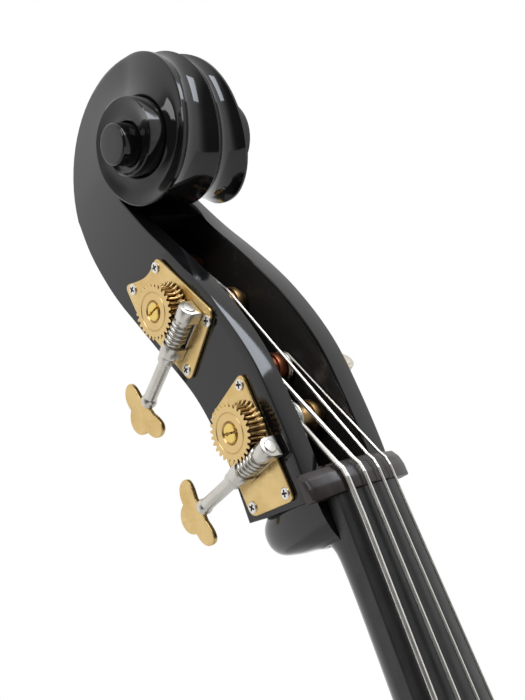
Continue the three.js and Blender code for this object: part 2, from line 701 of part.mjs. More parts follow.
function mirrorY(geometry) {
  const turn = new THREE.Matrix4().makeRotationZ(Math.PI / 2);
  return mirrorX(geometry.applyMatrix4(turn)).applyMatrix4(turn.invert());
}

function wheel() {
  const ring = (z, tip) => Array.from({ length: TEETH }, (_, i) => {
    const centre = 2 * Math.PI * (i + 0.5) / TEETH - Math.PI / 2;
    const tipHalf = 0.36 / tip;
    const root = tip - 1.5;
    const at = (radius, angle) => vec(radius * Math.cos(angle), radius * Math.sin(angle), z);
    return [at(root, centre - Math.PI / TEETH), at(tip, centre - tipHalf), at(tip, centre + tipHalf)];
  }).flat();
  const lip = WORM_CENTRES - Math.sqrt(WORM_CREST ** 2 - WHEEL_HALF ** 2) - 0.35;
  const rings = [ring(-WHEEL_HALF, lip), ring(-3, WHEEL_TIP), ring(3, WHEEL_TIP), ring(WHEEL_HALF, lip)];
  return cut(skin(rings), bar(3 + GAP, -WHEEL_HALF - 1, WHEEL_HALF + 1, 12),
    bar(5 + GAP, WHEEL_HALF - 2.5, WHEEL_HALF + 1, 16));
}

function wormShaft(reach) {
  const steps = 8 * Math.round(2 * THREAD_HALF / WORM_PITCH);
  const rings = Array.from({ length: steps + 1 }, (_, i) => {
    const x = mix(-THREAD_HALF, THREAD_HALF, i / steps);
    const angle = 2 * Math.PI * x / WORM_PITCH;
    const at = (radius, shift) => vec(x + shift, radius * Math.cos(angle), radius * Math.sin(angle));
    return [at(WORM_ROOT - 0.6, -0.55), at(WORM_ROOT - 0.6, 0.55), at(WORM_CREST, 0.3), at(WORM_CREST, -0.3)];
  });
  const shaft = turned([[0, -BRACKET_HALF], [JOURNAL, -BRACKET_HALF], [JOURNAL, -9.7], [WORM_ROOT, -9.7],
    [WORM_ROOT, 9.7], [JOURNAL, 9.7], [JOURNAL, BRACKET_HALF + GAP], [4.8, BRACKET_HALF + GAP], [4.8, 21],
    [JOURNAL, 22], [JOURNAL, reach], [0, reach]], 8).rotateY(Math.PI / 2);
  return join(shaft, skin(rings));
}

// A saddle bearing at each end of the worm, on one base strip.
function bracket() {
  const height = WHEEL_MID - PLATE_GAUGE - 2 * GAP;
  const strip = box(-BRACKET_HALF, BRACKET_HALF, -8.4, -4.6, -height, -height + 0.9);
  const bearing = (x0, x1) => join(
    bar(height - 0.1, x0, x1, 12).rotateY(Math.PI / 2),
    box(x0, x1, 0.1 - height, height - 0.1, -height, 0));
  const bore = bar(JOURNAL + GAP, -20, 20, 10).rotateY(Math.PI / 2);
  return cut(join(strip, bearing(-BRACKET_HALF, -10.6), bearing(10.6, BRACKET_HALF)), bore);
}

function key() {
  const shape = new THREE.Shape();
  shape.moveTo(-3, -6);
  shape.bezierCurveTo(-4, -10, -6, -17, 0, -17.5);
  shape.bezierCurveTo(6, -17.5, 8, -12, 8, -8);
  shape.bezierCurveTo(13, -7, 15, -3, 15, 0);
  shape.bezierCurveTo(15, 3, 13, 7, 8, 8);
  shape.bezierCurveTo(8, 12, 6, 17.5, 0, 17.5);
  shape.bezierCurveTo(-6, 17, -4, 10, -3, 6);
  return new THREE.ExtrudeGeometry(shape, { depth: KEY_GAUGE, bevelEnabled: false, curveSegments: 4 })
    .translate(0, 0, -KEY_GAUGE / 2);
}

function plate(machine) {
  const slope = THREE.MathUtils.degToRad(machine.plate.worm);
  const turnedPoints = machine.plate.corners.map(([y, z]) => new THREE.Vector2(
    y * Math.cos(slope) + z * Math.sin(slope), -y * Math.sin(slope) + z * Math.cos(slope)));
  const shape = new THREE.Shape();
  const count = turnedPoints.length;
  const radius = 4;
  turnedPoints.forEach((point, i) => {
    const before = turnedPoints[(i + count - 1) % count];
    const after = turnedPoints[(i + 1) % count];
    const start = point.clone().addScaledVector(before.clone().sub(point).normalize(), radius);
    const end = point.clone().addScaledVector(after.clone().sub(point).normalize(), radius);
    if (i === 0) shape.moveTo(start.x, start.y);
    else shape.lineTo(start.x, start.y);
    shape.quadraticCurveTo(point.x, point.y, end.x, end.y);
  });
  const sheet = new THREE.ExtrudeGeometry(shape, { depth: PLATE_GAUGE, bevelEnabled: false, curveSegments: 3 })
    .translate(0, 0, GAP);
  return cut(sheet, bar(ARBOR_RADIUS + GAP, -2, PLATE_GAUGE + 3, 12));
}

function buildMachine(machine) {
  const group = machineGroup(machine);
  const sided = (geometry) => (machine.side > 0 ? geometry : mirrorY(geometry));
  const { name } = machine;
  piece(`${name}_machine_plate`, sided(plate(machine)), BRASS, group);
  piece(`${name}_worm_bracket`, sided(bracket()), NICKEL, group)
    .position.set(0, machine.side * -WORM_CENTRES, WHEEL_MID);
  piece(`${name}_worm_shaft`, sided(wormShaft(KEY_REACH)), NICKEL, group)
    .position.set(0, machine.side * -WORM_CENTRES, WHEEL_MID);
  piece(`${name}_tuning_key`, sided(key()), BRASS, group)
    .position.set(KEY_REACH + 4, machine.side * -WORM_CENTRES, WHEEL_MID);
  piece(`${name}_worm_wheel`, sided(wheel()), BRASS, group).position.z = WHEEL_MID;
  const screw = turned([[0, -WHEEL_HALF + 1], [3, -WHEEL_HALF + 1], [3, WHEEL_HALF - 2.5 + GAP],
    [5, WHEEL_HALF - 2.5 + GAP], [5, WHEEL_HALF + 0.6], [0, WHEEL_HALF + 0.6]], 12);
  piece(`${name}_wheel_screw`, screw, BRASS, group).position.z = WHEEL_MID;
  const end = -CHEEK_HALF - SLOT_HALF - 7;
  const wall = -CHEEK_HALF - SLOT_HALF + 1;
  const flange = -CHEEK_HALF - machine.collar;
  const roller = turned([[0, end], [ARBOR_RADIUS, end], [ARBOR_RADIUS, wall], [ROLLER_RADIUS, wall],
    [ROLLER_RADIUS, flange - 4], [ROLLER_RADIUS + 2, flange - 4], [ROLLER_RADIUS + 2, flange],
    [ROLLER_RADIUS, flange], [ROLLER_RADIUS, -CHEEK_WALL - 1], [ARBOR_RADIUS, -CHEEK_WALL - 1],
    [ARBOR_RADIUS, WHEEL_MID - WHEEL_HALF - GAP], [0, WHEEL_MID - WHEEL_HALF - GAP]], 12);
  piece(`${name}_roller`, roller, BRONZE, group);
}

// ---- Strings, bridge and tailpiece --------------------------------------------------------
const STRING_NAMES = ['e', 'a', 'd', 'g'];
const stringX = (i, spacing) => (i - 1.5) * spacing;
const bridgeTop = (i) => BRIDGE_ARCH * stringX(i, BRIDGE_SPACING) ** 2;
const TAIL = { top: BRIDGE_Z - 150, bottom: PIN_OUT + 118, y: FRONT_Y - 108 };

// The D string's machine is so far back that the string rests on the A string's roller on its way.
function restingOn(i) {
  if (STRING_NAMES[i] !== 'd') return [];
  const lower = MACHINES.find(({ name }) => name === 'string_a');
  const clear = ROLLER_RADIUS + STRING_RADII[i] + 2 * GAP;
  const angle = 0.45;
  return [vec(4.4, lower.y - clear * Math.cos(angle), lower.z + clear * Math.sin(angle))];
}

function stringRoute(i) {
  const machine = MACHINES.find(({ string }) => string === i);
  const radius = STRING_RADII[i];
  const nutX = stringX(i, NUT_SPACING);
  const crest = (z, drop) => vec(nutX, NUT_ARCH * nutX * nutX + drop, z);
  const tailHole = vec(stringX(i, 17), TAIL.y - 9, TAIL.top + 6).applyMatrix4(intoHead);
  const bridgePoint = vec(stringX(i, BRIDGE_SPACING), bridgeTop(i), -STRING_LENGTH);
  const clear = ROLLER_RADIUS + radius + GAP;
  const steps = 10;
  const winds = 2.5;
  const landing = 0.6;
  const coil = Array.from({ length: winds * steps + 1 }, (_, k) => {
    const angle = landing + 2 * Math.PI * k / steps;
    const x = machine.rollerX + machine.wind * (2 * radius + GAP) * k / steps;
    return vec(x, machine.y - clear * Math.cos(angle), machine.z + clear * Math.sin(angle));
  });
  const nutPoints = [crest(0, 0), crest(6, 0), crest(11, 1), crest(NUT_LENGTH, 3.6)];
  return [tailHole, bridgePoint, ...nutPoints, ...restingOn(i), ...coil];
}

function buildStrings() {
  STRING_NAMES.forEach((name, i) => {
    piece(`${name}_string`, cord(stringRoute(i), STRING_RADII[i]), STRING_STEEL, head);
  });
}

function buildBridge() {
  // Drawn in the (X, height) plane, height measured forwards from the rib edge.
  const strings = STRING_AT_BRIDGE;
  const shape = new THREE.Shape();
  const base = PLATE_EDGE + 16;
  shape.moveTo(-82, base);
  shape.lineTo(-40, base + 3);
  shape.quadraticCurveTo(-44, base + 26, 0, base + 30);
  shape.quadraticCurveTo(44, base + 26, 40, base + 3);
  shape.lineTo(82, base);
  shape.lineTo(82, base + 12);
  shape.bezierCurveTo(60, base + 26, 72, base + 50, 74, base + 66);
  shape.bezierCurveTo(76, base + 90, 56, base + 96, 53, strings - 22);
  const crest = Array.from({ length: 9 }, (_, i) => mix(50, -50, i / 8));
  crest.forEach((x) => shape.lineTo(x, strings - BRIDGE_ARCH * x * x - STRING_RADII[0] - 1.8));
  shape.lineTo(-53, strings - 22);
  shape.bezierCurveTo(-56, base + 96, -76, base + 90, -74, base + 66);
  shape.bezierCurveTo(-72, base + 50, -60, base + 26, -82, base + 12);
  const heart = new THREE.Path();
  heart.absarc(0, base + 84, 13, 0, 2 * Math.PI, true);
  shape.holes.push(heart);
  [-1, 1].forEach((side) => {
    const kidney = new THREE.Path();
    kidney.absellipse(side * 42, base + 62, 11, 15, 0, 2 * Math.PI, true);
    shape.holes.push(kidney);
  });
  const slab = new THREE.ExtrudeGeometry(shape, { depth: 22, bevelEnabled: false, curveSegments: 5 })
    .applyMatrix4(new THREE.Matrix4().makeBasis(vec(1, 0, 0), vec(0, -1, 0), vec(0, 0, -1)))
    .translate(0, FRONT_Y, BRIDGE_Z + 11);
  const place = slab.attributes.position;
  for (let i = 0; i < place.count; i += 1) {
    const t = (FRONT_Y - place.getY(i)) / strings;
    place.setZ(i, BRIDGE_Z + (place.getZ(i) - BRIDGE_Z) * mix(1.05, 0.38, t));
  }
  const arch = archedPlate(-1, FRONT_Y, 60).translate(0, -GAP, 0);
  piece('bridge', cut(slab, arch), MAPLE, bass);
}

function buildTail() {
  const length = TAIL.top - TAIL.bottom;
  const rings = Array.from({ length: 7 }, (_, i) => {
    const t = i / 6;
    const half = mix(24, 43, t ** 1.3);
    const z = TAIL.bottom + length * t;
    const section = Array.from({ length: 9 }, (_unused, k) => {
      const x = mix(-half, half, k / 8);
      return vec(x, TAIL.y - 9 + mix(0.009, 0.0048, t) * x * x - mix(2, 6, t), z);
    });
    return [...section, vec(half, TAIL.y + 3, z), vec(-half, TAIL.y + 3, z)];
  });
  const slots = STRING_NAMES.map((_, i) => {
    const x = stringX(i, 17);
    const hole = bar(3.2, -30, 30, 10).rotateX(Math.PI / 2).translate(x, TAIL.y, TAIL.top - 22);
    return join(hole, box(x - 1.8, x + 1.8, TAIL.y - 30, TAIL.y + 30, TAIL.top - 22, TAIL.top + 5));
  });
  piece('tailpiece', cut(skin(rings), ...slots), EBONY, bass);
  const loop = 15.7;
  const under = PIN_OUT - 2.6;
  const front = FRONT_Y - 18;
  const leg = (way) => [
    vec(way * 16, TAIL.y + 6.2, TAIL.bottom + 14), vec(way * 16, TAIL.y + 6.2, TAIL.bottom - 4),
    vec(way * loop, front - 2.4, PIN_OUT + 14), vec(way * loop, front - 2.4, PIN_OUT + 1),
    vec(way * loop, front + 2, under), vec(way * loop, 0, under),
  ];
  const round = Array.from({ length: 7 }, (_, i) => {
    const angle = Math.PI * (i + 1) / 8;
    return vec(loop * Math.cos(angle), loop * Math.sin(angle), under);
  });
  const wire = [...leg(1), ...round, ...leg(-1).reverse()];
  piece('tail_wire', cord(wire, 1.6), NICKEL, bass);
  const saddle = box(-26, 26, front, FRONT_Y - GAP, PIN_OUT + 1, PIN_OUT + 14);
  piece('saddle', saddle, EBONY, bass);
}

// ---- Endpin -------------------------------------------------------------------------------
function buildEndpin() {
  const rodRadius = 5;
  const bore = rodRadius + 0.1;
  const seat = PIN_OUT + EDGE_OVERHANG;
  const plug = turned([[bore, seat - 44], [11, seat - 44], [14, seat - 40], [14, seat - 22], [19, seat - 19],
    [19, seat - 11], [13.6, seat - 10.5], [13.6, seat - 6], [18, seat - 5.5], [18, seat - GAP],
    [14, seat - GAP],
    [12, seat + 50], [bore, seat + 50], [bore, seat - 44]], 16);
  const screwHole = bar(3 + GAP, 0, 30, 10).rotateX(Math.PI / 2).translate(0, 0, seat - 32);
  piece('endpin_socket', cut(plug, screwHole), EBONY, bass);
  const screw = turned([[0, bore + 0.2], [3, bore + 0.2], [3, 16], [8, 16.5], [8, 24], [0, 24]], 16)
    .rotateX(Math.PI / 2);
  piece('endpin_thumb_screw', screw, NICKEL, bass).position.set(0, 0, seat - 32);
  piece('endpin_rod', bar(rodRadius, 16, 460, 16), NICKEL, bass);
  const tip = turned([[0, 0], [9, 0], [13, 5], [13, 16], [9, 30], [rodRadius + GAP, 32],
    [rodRadius + GAP, 15.7], [0, 15.7]], 16);
  piece('endpin_tip', tip, RUBBER, bass);
}

buildBox();
buildInsides();
buildNeckAndScroll();
buildFingerboard();
buildNut();
MACHINES.forEach(buildMachine);
buildStrings();
buildBridge();
buildTail();
buildEndpin();

export default bass;
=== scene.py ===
"""Looks of a three-quarter double bass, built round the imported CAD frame. Head pieces are drawn in
millimetres in the head's own frame (x to the treble side, y to the back, z up the pegbox)."""
import json
import math

import bmesh
import bpy
import numpy as np
from mathutils import Matrix, Vector


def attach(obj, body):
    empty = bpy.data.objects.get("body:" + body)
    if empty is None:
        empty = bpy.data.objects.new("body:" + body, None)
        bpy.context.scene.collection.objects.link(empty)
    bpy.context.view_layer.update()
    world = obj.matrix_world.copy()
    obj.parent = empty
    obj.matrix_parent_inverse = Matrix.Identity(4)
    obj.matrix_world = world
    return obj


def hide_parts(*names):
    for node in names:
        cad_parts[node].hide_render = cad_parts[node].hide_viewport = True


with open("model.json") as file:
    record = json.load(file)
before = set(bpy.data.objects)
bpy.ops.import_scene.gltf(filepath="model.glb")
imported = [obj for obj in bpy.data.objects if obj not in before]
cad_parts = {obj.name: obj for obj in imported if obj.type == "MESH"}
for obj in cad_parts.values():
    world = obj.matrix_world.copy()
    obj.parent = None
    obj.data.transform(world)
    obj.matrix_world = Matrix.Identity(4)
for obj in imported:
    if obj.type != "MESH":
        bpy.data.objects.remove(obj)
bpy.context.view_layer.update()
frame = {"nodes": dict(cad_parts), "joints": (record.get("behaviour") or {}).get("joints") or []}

MM = 0.001

# ---- Driving dimensions, in millimetres and radians ----
NECK_TILT = math.radians(12)
PIN_OUT = 180
BODY_LENGTH = 1110
BODY_TOP = PIN_OUT + BODY_LENGTH
RIB_DEPTH = 195
FRONT_Y = -RIB_DEPTH / 2
BACK_Y = RIB_DEPTH / 2
STRING_LENGTH = 1050
NECK_STOP = 430
STRING_AT_BRIDGE = 195
NUT_SPACING = 10.45
BRIDGE_SPACING = 28.3
NUT_ARCH = 0.0077
BRIDGE_ARCH = 0.0058
STRING_RADII = (1.5, 1.15, 0.9, 0.75)
NUT_Z = BODY_TOP + NECK_STOP * math.cos(NECK_TILT)
NUT_Y = FRONT_Y - STRING_AT_BRIDGE + STRING_LENGTH * math.sin(NECK_TILT)
BRIDGE_Z = NUT_Z - STRING_LENGTH * math.cos(NECK_TILT)
BOARD_LENGTH = 850
NUT_HALF = 35
NUT_LENGTH = 15
CHEEK_HALF = 31.2
SLOT_HALF = 17.7
SCROLL_Y = 40
SCROLL_Z = 220.5
SPIRAL_RADII = (85, 60, 37, 35, 31.5, 27, 25, 18.5, 17, 13.5, 11.8)
EYE_RADIUS = 11.5
TEETH = 28
WORM_CENTRES = 17.7
WORM_PITCH = 2 * math.pi * 12.55 / TEETH
WHEEL_MID = 8.3
WHEEL_HALF = 5.4
WHEEL_SCREW_RADIUS = 4.9
KEY_REACH = 51
SHAFT_RADIUS = 3.7
PLATE_TOP = 2.15
PLATE_SCREW_RADIUS = 3.1
PLATE_SCREW_CROSS = (1.9, 0.5)
ROLLER_RADIUS = 7
ARBOR_RADIUS = 5
WINDS = 2.5
HEEL_FOOT = BODY_TOP - 5.4

HEAD = (Matrix.Translation((0, NUT_Y * MM, NUT_Z * MM)) @ Matrix.Rotation(-NECK_TILT, 4, "X")
        @ Matrix.Scale(MM, 4))
INTO_HEAD = Matrix.Rotation(NECK_TILT, 4, "X") @ Matrix.Translation((0, -NUT_Y, -NUT_Z))


# ---- Mesh helpers ----
def skin(rings, caps=True, closed=True):
    """Points and faces of a skin over rings that hold the same number of points."""
    count = len(rings[0])
    points = [tuple(point) for ring in rings for point in ring]
    faces = []
    for row in range(len(rings) - 1):
        for i in range(count if closed else count - 1):
            a = row * count + i
            b = row * count + (i + 1) % count
            faces.append((a, b, b + count, a + count))
    if caps:
        faces.append(tuple(range(count)))
        faces.append(tuple((len(rings) - 1) * count + i for i in range(count)))
    return points, faces


def smooth_line(points, count):
    """A Catmull-Rom curve through points, sampled evenly in its parameter; points of any width."""
    knots = np.array(points, float)
    padded = np.vstack([2 * knots[0] - knots[1], knots, 2 * knots[-1] - knots[-2]])
    out = []
    for t in np.linspace(0, len(knots) - 1, count):
        i = min(int(t), len(knots) - 2)
        u = t - i
        a, b, c, d = padded[i:i + 4]
        out.append(0.5 * (2 * b + (c - a) * u + (2 * a - 5 * b + 4 * c - d) * u * u
                          + (3 * b - a - 3 * c + d) * u ** 3))
    return np.array(out)


def even_line(points, count):
    """The same curve, resampled to even steps of length."""
    fine = smooth_line(points, 40 * len(points))
    steps = np.concatenate([[0], np.cumsum(np.linalg.norm(np.diff(fine, axis=0), axis=1))])
    wanted = np.linspace(0, steps[-1], count)
    return np.stack([np.interp(wanted, steps, fine[:, k]) for k in range(fine.shape[1])], axis=1)


def turned(profile, sides=48):
    """A turned piece about +Z from (radius, z) steps; the ends are closed."""
    rings = []
    for radius, z in profile:
        angles = np.linspace(0, 2 * math.pi, sides, endpoint=False)
        rings.append([(radius * math.cos(a), radius * math.sin(a), z) for a in angles])
    return skin(rings)


def rounded(profile, radius, steps=3):
    """A profile with every corner between its two ends rounded off."""
    out = [profile[0]]
    for before, corner, after in zip(profile, profile[1:], profile[2:]):
        p, q, r = (np.array(v, float) for v in (before, corner, after))
        reach = min(radius, np.linalg.norm(p - q) * 0.45, np.linalg.norm(r - q) * 0.45)
        start = q + (p - q) / np.linalg.norm(p - q) * reach
        end = q + (r - q) / np.linalg.norm(r - q) * reach
        for u in np.linspace(0, 1, steps + 1):
            out.append(tuple((1 - u) ** 2 * start + 2 * u * (1 - u) * q + u * u * end))
    out.append(profile[-1])
    return out


def inset_outline(outline, inset):
    points = np.array(outline, float)
    along = np.roll(points, -1, axis=0) - np.roll(points, 1, axis=0)
    along /= np.linalg.norm(along, axis=1)[:, None]
    x, y = points[:, 0], points[:, 1]
    area = np.sum(x * np.roll(y, -1) - y * np.roll(x, -1))
    inward = np.stack([-along[:, 1], along[:, 0]], axis=1) * math.copysign(1, area)
    return points + inset * inward


def slab(outline, low, high, edge=0.4, steps=3):
    """An outline in (x, y), raised from low to high, its edges rounded by edge."""
    rings = []
    for i in range(steps + 1):
        a = math.pi / 2 * i / steps
        rings.append((edge * (1 - math.sin(a)), low + edge * (1 - math.cos(a))))
    rings += [(inset, high - (level - low)) for inset, level in reversed(rings)]
    return skin([[(x, y, z) for x, y in inset_outline(outline, inset)] for inset, z in rings])


def tube(path, radius, sides=12):
    """A round tube along a list of points, with a frame that doesn't twist."""
    points = np.array(path, float)
    tangents = np.gradient(points, axis=0)
    tangents /= np.linalg.norm(tangents, axis=1)[:, None]
    side = np.cross(tangents[0], (1, 0, 0) if abs(tangents[0][0]) < 0.9 else (0, 1, 0))
    rings = []
    for point, tangent in zip(points, tangents):
        side = side - tangent * np.dot(side, tangent)
        side /= np.linalg.norm(side)
        other = np.cross(tangent, side)
        rings.append([point + radius * (math.cos(a) * side + math.sin(a) * other)
                      for a in np.linspace(0, 2 * math.pi, sides, endpoint=False)])
    return skin(rings)


def moved(shape, matrix):
    points, faces = shape
    return [tuple(matrix @ Vector(point)) for point in points], faces


def piece(name, shapes, materials, body="instrument", sharp=32, place=HEAD, stands_for=(),
          zones=None):
    """One object from closed shapes. zones(shape number, face centre) picks the material of a face."""
    shapes = shapes if isinstance(shapes, list) else [shapes]
    materials = materials if isinstance(materials, (list, tuple)) else [materials]
    work = bmesh.new()
    for number, (points, faces) in enumerate(shapes):
        verts = [work.verts.new(place @ Vector(point)) for point in points]
        for face in faces:
            made = work.faces.new([verts[i] for i in face])
            if zones:
                centre = sum((Vector(points[i]) for i in face), Vector()) / len(face)
                made.material_index = zones(number, centre)
    bmesh.ops.remove_doubles(work, verts=work.verts, dist=1e-6)
    bmesh.ops.dissolve_degenerate(work, edges=work.edges, dist=1e-7)
    bmesh.ops.recalc_face_normals(work, faces=work.faces)
    mesh = bpy.data.meshes.new(name)
    work.to_mesh(mesh)
    work.free()
    mesh.shade_smooth()
    mesh.set_sharp_from_angle(angle=math.radians(sharp))
    made = bpy.data.objects.new(name, mesh)
    bpy.context.scene.collection.objects.link(made)
    for material in materials:
        mesh.materials.append(material)
    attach(made, body)
    if stands_for:
        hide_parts(*([stands_for] if isinstance(stands_for, str) else stands_for))
    return made


# ---- Materials ----
class Shader:
    """A Principled material whose patterns are placed by the object's own coordinates."""

    def __init__(self, name, colour, roughness, metallic=0.0):
        self.material = bpy.data.materials.new(name)
        self.material.use_nodes = True
        self.nodes = self.material.node_tree.nodes
        self.links = self.material.node_tree.links
        self.shader = self.nodes["Principled BSDF"]
        self.set("Base Color", (*colour, 1))
        self.set("Roughness", roughness)
        self.set("Metallic", metallic)
        self.place = self.nodes.new("ShaderNodeTexCoord").outputs["Object"]

    def set(self, socket, value):
        self.shader.inputs[socket].default_value = value

    def stretched(self, scale):
        mapping = self.nodes.new("ShaderNodeMapping")
        mapping.inputs["Scale"].default_value = scale
        self.links.new(self.place, mapping.inputs["Vector"])
        return mapping.outputs["Vector"]

    def noise(self, scale, detail=4.0, rough=0.55, stretch=(1, 1, 1), distortion=0.0):
        node = self.nodes.new("ShaderNodeTexNoise")
        node.inputs["Scale"].default_value = scale
        node.inputs["Detail"].default_value = detail
        node.inputs["Roughness"].default_value = rough
        node.inputs["Distortion"].default_value = distortion
        self.links.new(self.stretched(stretch), node.inputs["Vector"])
        return node.outputs["Fac"]

    def spread(self, value, low, high, to_low, to_high):
        node = self.nodes.new("ShaderNodeMapRange")
        sockets = ("From Min", "From Max", "To Min", "To Max")
        for socket, number in zip(sockets, (low, high, to_low, to_high)):
            node.inputs[socket].default_value = number
        self.links.new(value, node.inputs["Value"])
        return node.outputs["Result"]

    def blend(self, factor, first, second):
        node = self.nodes.new("ShaderNodeMix")
        node.data_type = "RGBA"
        self.links.new(factor, node.inputs["Factor"])
        for socket, colour in zip((node.inputs["A"], node.inputs["B"]), (first, second)):
            if isinstance(colour, tuple):
                socket.default_value = (*colour, 1)
            else:
                self.links.new(colour, socket)
        return node.outputs["Result"]

    def feed(self, socket, value):
        self.links.new(value, self.shader.inputs[socket])

    def bump(self, value, strength, distance):
        node = self.nodes.new("ShaderNodeBump")
        node.inputs["Strength"].default_value = strength
        node.inputs["Distance"].default_value = distance
        self.links.new(value, node.inputs["Height"])
        self.feed("Normal", node.outputs["Normal"])


def lacquer():
    made = Shader("black_lacquer", (0.006, 0.006, 0.0065), 0.09)
    made.feed("Base Color", made.blend(made.spread(made.noise(22), 0.4, 0.7, 0, 1),
                                       (0.0055, 0.0055, 0.006), (0.0085, 0.008, 0.0075)))
    made.feed("Roughness", made.spread(made.noise(60, 6), 0.35, 0.75, 0.06, 0.13))
    made.set("Specular IOR Level", 0.5)
    made.bump(made.noise(9, 2), 0.12, 0.0006)
    return made.material


def slot_black():
    """The pegbox's inside: dull black with brown-grey rub marks."""
    made = Shader("pegbox_inside_black", (0.012, 0.011, 0.010), 0.5)
    rubbed = made.spread(made.noise(70, 8, 0.7, (1, 1, 0.55)), 0.56, 0.74, 0, 1)
    made.feed("Base Color", made.blend(rubbed, (0.02, 0.0185, 0.0175), (0.11, 0.09, 0.073)))
    made.feed("Roughness", made.spread(made.noise(120, 6), 0.3, 0.8, 0.36, 0.62))
    made.set("Specular IOR Level", 0.35)
    made.bump(made.noise(240, 5), 0.25, 0.0004)
    return made.material


def brass():
    made = Shader("satin_brass", (0.70, 0.50, 0.215), 0.3, 1.0)
    tarnish = made.spread(made.noise(55, 6, 0.6), 0.42, 0.75, 0, 1)
    made.feed("Base Color", made.blend(tarnish, (0.74, 0.545, 0.25), (0.61, 0.415, 0.155)))
    scratches = made.noise(420, 5, 0.7, (1, 0.12, 1.3))
    made.feed("Roughness", made.spread(scratches, 0.3, 0.7, 0.25, 0.42))
    made.bump(scratches, 0.16, 0.00012)
    return made.material


def brass_with_painted_gap_shade():
    """The wheel's teeth: the same brass, with painted shade that turns it dark brown in the gaps between the
    teeth, where ambient occlusion finds them.
    """
    made = Shader("brass_with_painted_gap_shade", (0.6, 0.4, 0.16), 0.32, 1.0)
    gaps = made.nodes.new("ShaderNodeAmbientOcclusion")
    gaps.inputs["Distance"].default_value = 0.004
    gaps.samples = 6
    shade = made.spread(gaps.outputs["AO"], 0.35, 0.9, 1, 0)
    # Painted shade: the colour goes dark brown where the gaps between the teeth occlude the light.
    made.feed("Base Color", made.blend(shade, (0.72, 0.52, 0.235), (0.2, 0.085, 0.022)))
    made.feed("Roughness", made.spread(made.noise(300, 5), 0.3, 0.7, 0.27, 0.42))
    made.bump(made.noise(500, 4), 0.1, 0.0001)
    return made.material


def bright_brass():
    made = Shader("bright_brass", (0.83, 0.62, 0.2), 0.16, 1.0)
    made.feed("Roughness", made.spread(made.noise(500, 4), 0.3, 0.7, 0.12, 0.26))
    made.feed("Base Color", made.blend(made.noise(90), (0.86, 0.66, 0.22), (0.74, 0.52, 0.14)))
    return made.material


def nickel():
    made = Shader("satin_nickel", (0.62, 0.595, 0.55), 0.3, 1.0)
    made.feed("Base Color", made.blend(made.spread(made.noise(80, 3), 0.35, 0.7, 0, 1),
                                       (0.64, 0.615, 0.57), (0.57, 0.545, 0.5)))
    made.feed("Roughness", made.spread(made.noise(240, 3, 0.5), 0.3, 0.7, 0.27, 0.35))
    made.bump(made.noise(400, 2), 0.04, 0.0001)
    return made.material


def screw_nickel():
    made = Shader("bright_screw_nickel", (0.78, 0.765, 0.73), 0.26, 1.0)
    made.feed("Roughness", made.spread(made.noise(400, 3), 0.3, 0.7, 0.22, 0.34))
    return made.material


# Painted shade for the cross-shaped recess in each plate screw: a dull near-black in place of the nickel.
def painted_screw_recess_shade():
    made = Shader("painted_screw_recess_shade", (0.05, 0.045, 0.04), 0.6)
    made.feed("Roughness", made.spread(made.noise(400, 3), 0.3, 0.7, 0.5, 0.7))
    return made.material


def bronze(name, colour, worn):
    made = Shader(name, colour, 0.38, 1.0)
    made.feed("Base Color", made.blend(made.spread(made.noise(120, 6), 0.4, 0.7, 0, 1), colour, worn))
    made.feed("Roughness", made.spread(made.noise(260, 5), 0.3, 0.7, 0.3, 0.5))
    made.bump(made.noise(420, 4), 0.12, 0.0002)
    return made.material


def ebony(name, colour, light, roughness):
    made = Shader(name, colour, roughness)
    grain = made.noise(180, 6, 0.65, (1, 1, 0.05))
    made.feed("Base Color", made.blend(made.spread(grain, 0.4, 0.75, 0, 1), colour, light))
    made.feed("Roughness", made.spread(made.noise(90, 5), 0.3, 0.75, roughness - 0.06, roughness + 0.1))
    made.bump(grain, 0.12, 0.0002)
    return made.material


def maple():
    made = Shader("bridge_maple", (0.6, 0.4, 0.19), 0.45)
    flecks = made.noise(260, 5, 0.6, (0.25, 1, 1))
    made.feed("Base Color", made.blend(made.spread(flecks, 0.4, 0.7, 0, 1),
                                       (0.64, 0.44, 0.22), (0.42, 0.25, 0.1)))
    made.bump(flecks, 0.1, 0.0002)
    return made.material


def bare_wood():
    made = Shader("bare_spruce", (0.6, 0.42, 0.22), 0.7)
    grain = made.noise(140, 5, 0.6, (1, 1, 0.04))
    made.feed("Base Color", made.blend(grain, (0.66, 0.48, 0.27), (0.46, 0.3, 0.14)))
    made.bump(grain, 0.2, 0.0004)
    return made.material


def string_steel():
    """Flat-wound steel: fine turns of ribbon that cross the string."""
    made = Shader("flat_wound_steel", (0.78, 0.76, 0.71), 0.33, 1.0)
    wave = made.nodes.new("ShaderNodeTexWave")
    wave.bands_direction = "Z"
    wave.inputs["Scale"].default_value = 260
    wave.inputs["Distortion"].default_value = 0.4
    made.links.new(made.place, wave.inputs["Vector"])
    made.feed("Base Color", made.blend(wave.outputs["Fac"], (0.82, 0.80, 0.75), (0.74, 0.72, 0.67)))
    made.feed("Roughness", made.spread(made.noise(200, 3), 0.3, 0.7, 0.3, 0.38))
    made.bump(wave.outputs["Fac"], 0.06, 0.0001)
    return made.material


def rubber():
    made = Shader("black_rubber", (0.018, 0.018, 0.018), 0.75)
    made.feed("Roughness", made.spread(made.noise(150, 5), 0.3, 0.7, 0.68, 0.85))
    made.bump(made.noise(500, 5), 0.3, 0.0003)
    return made.material


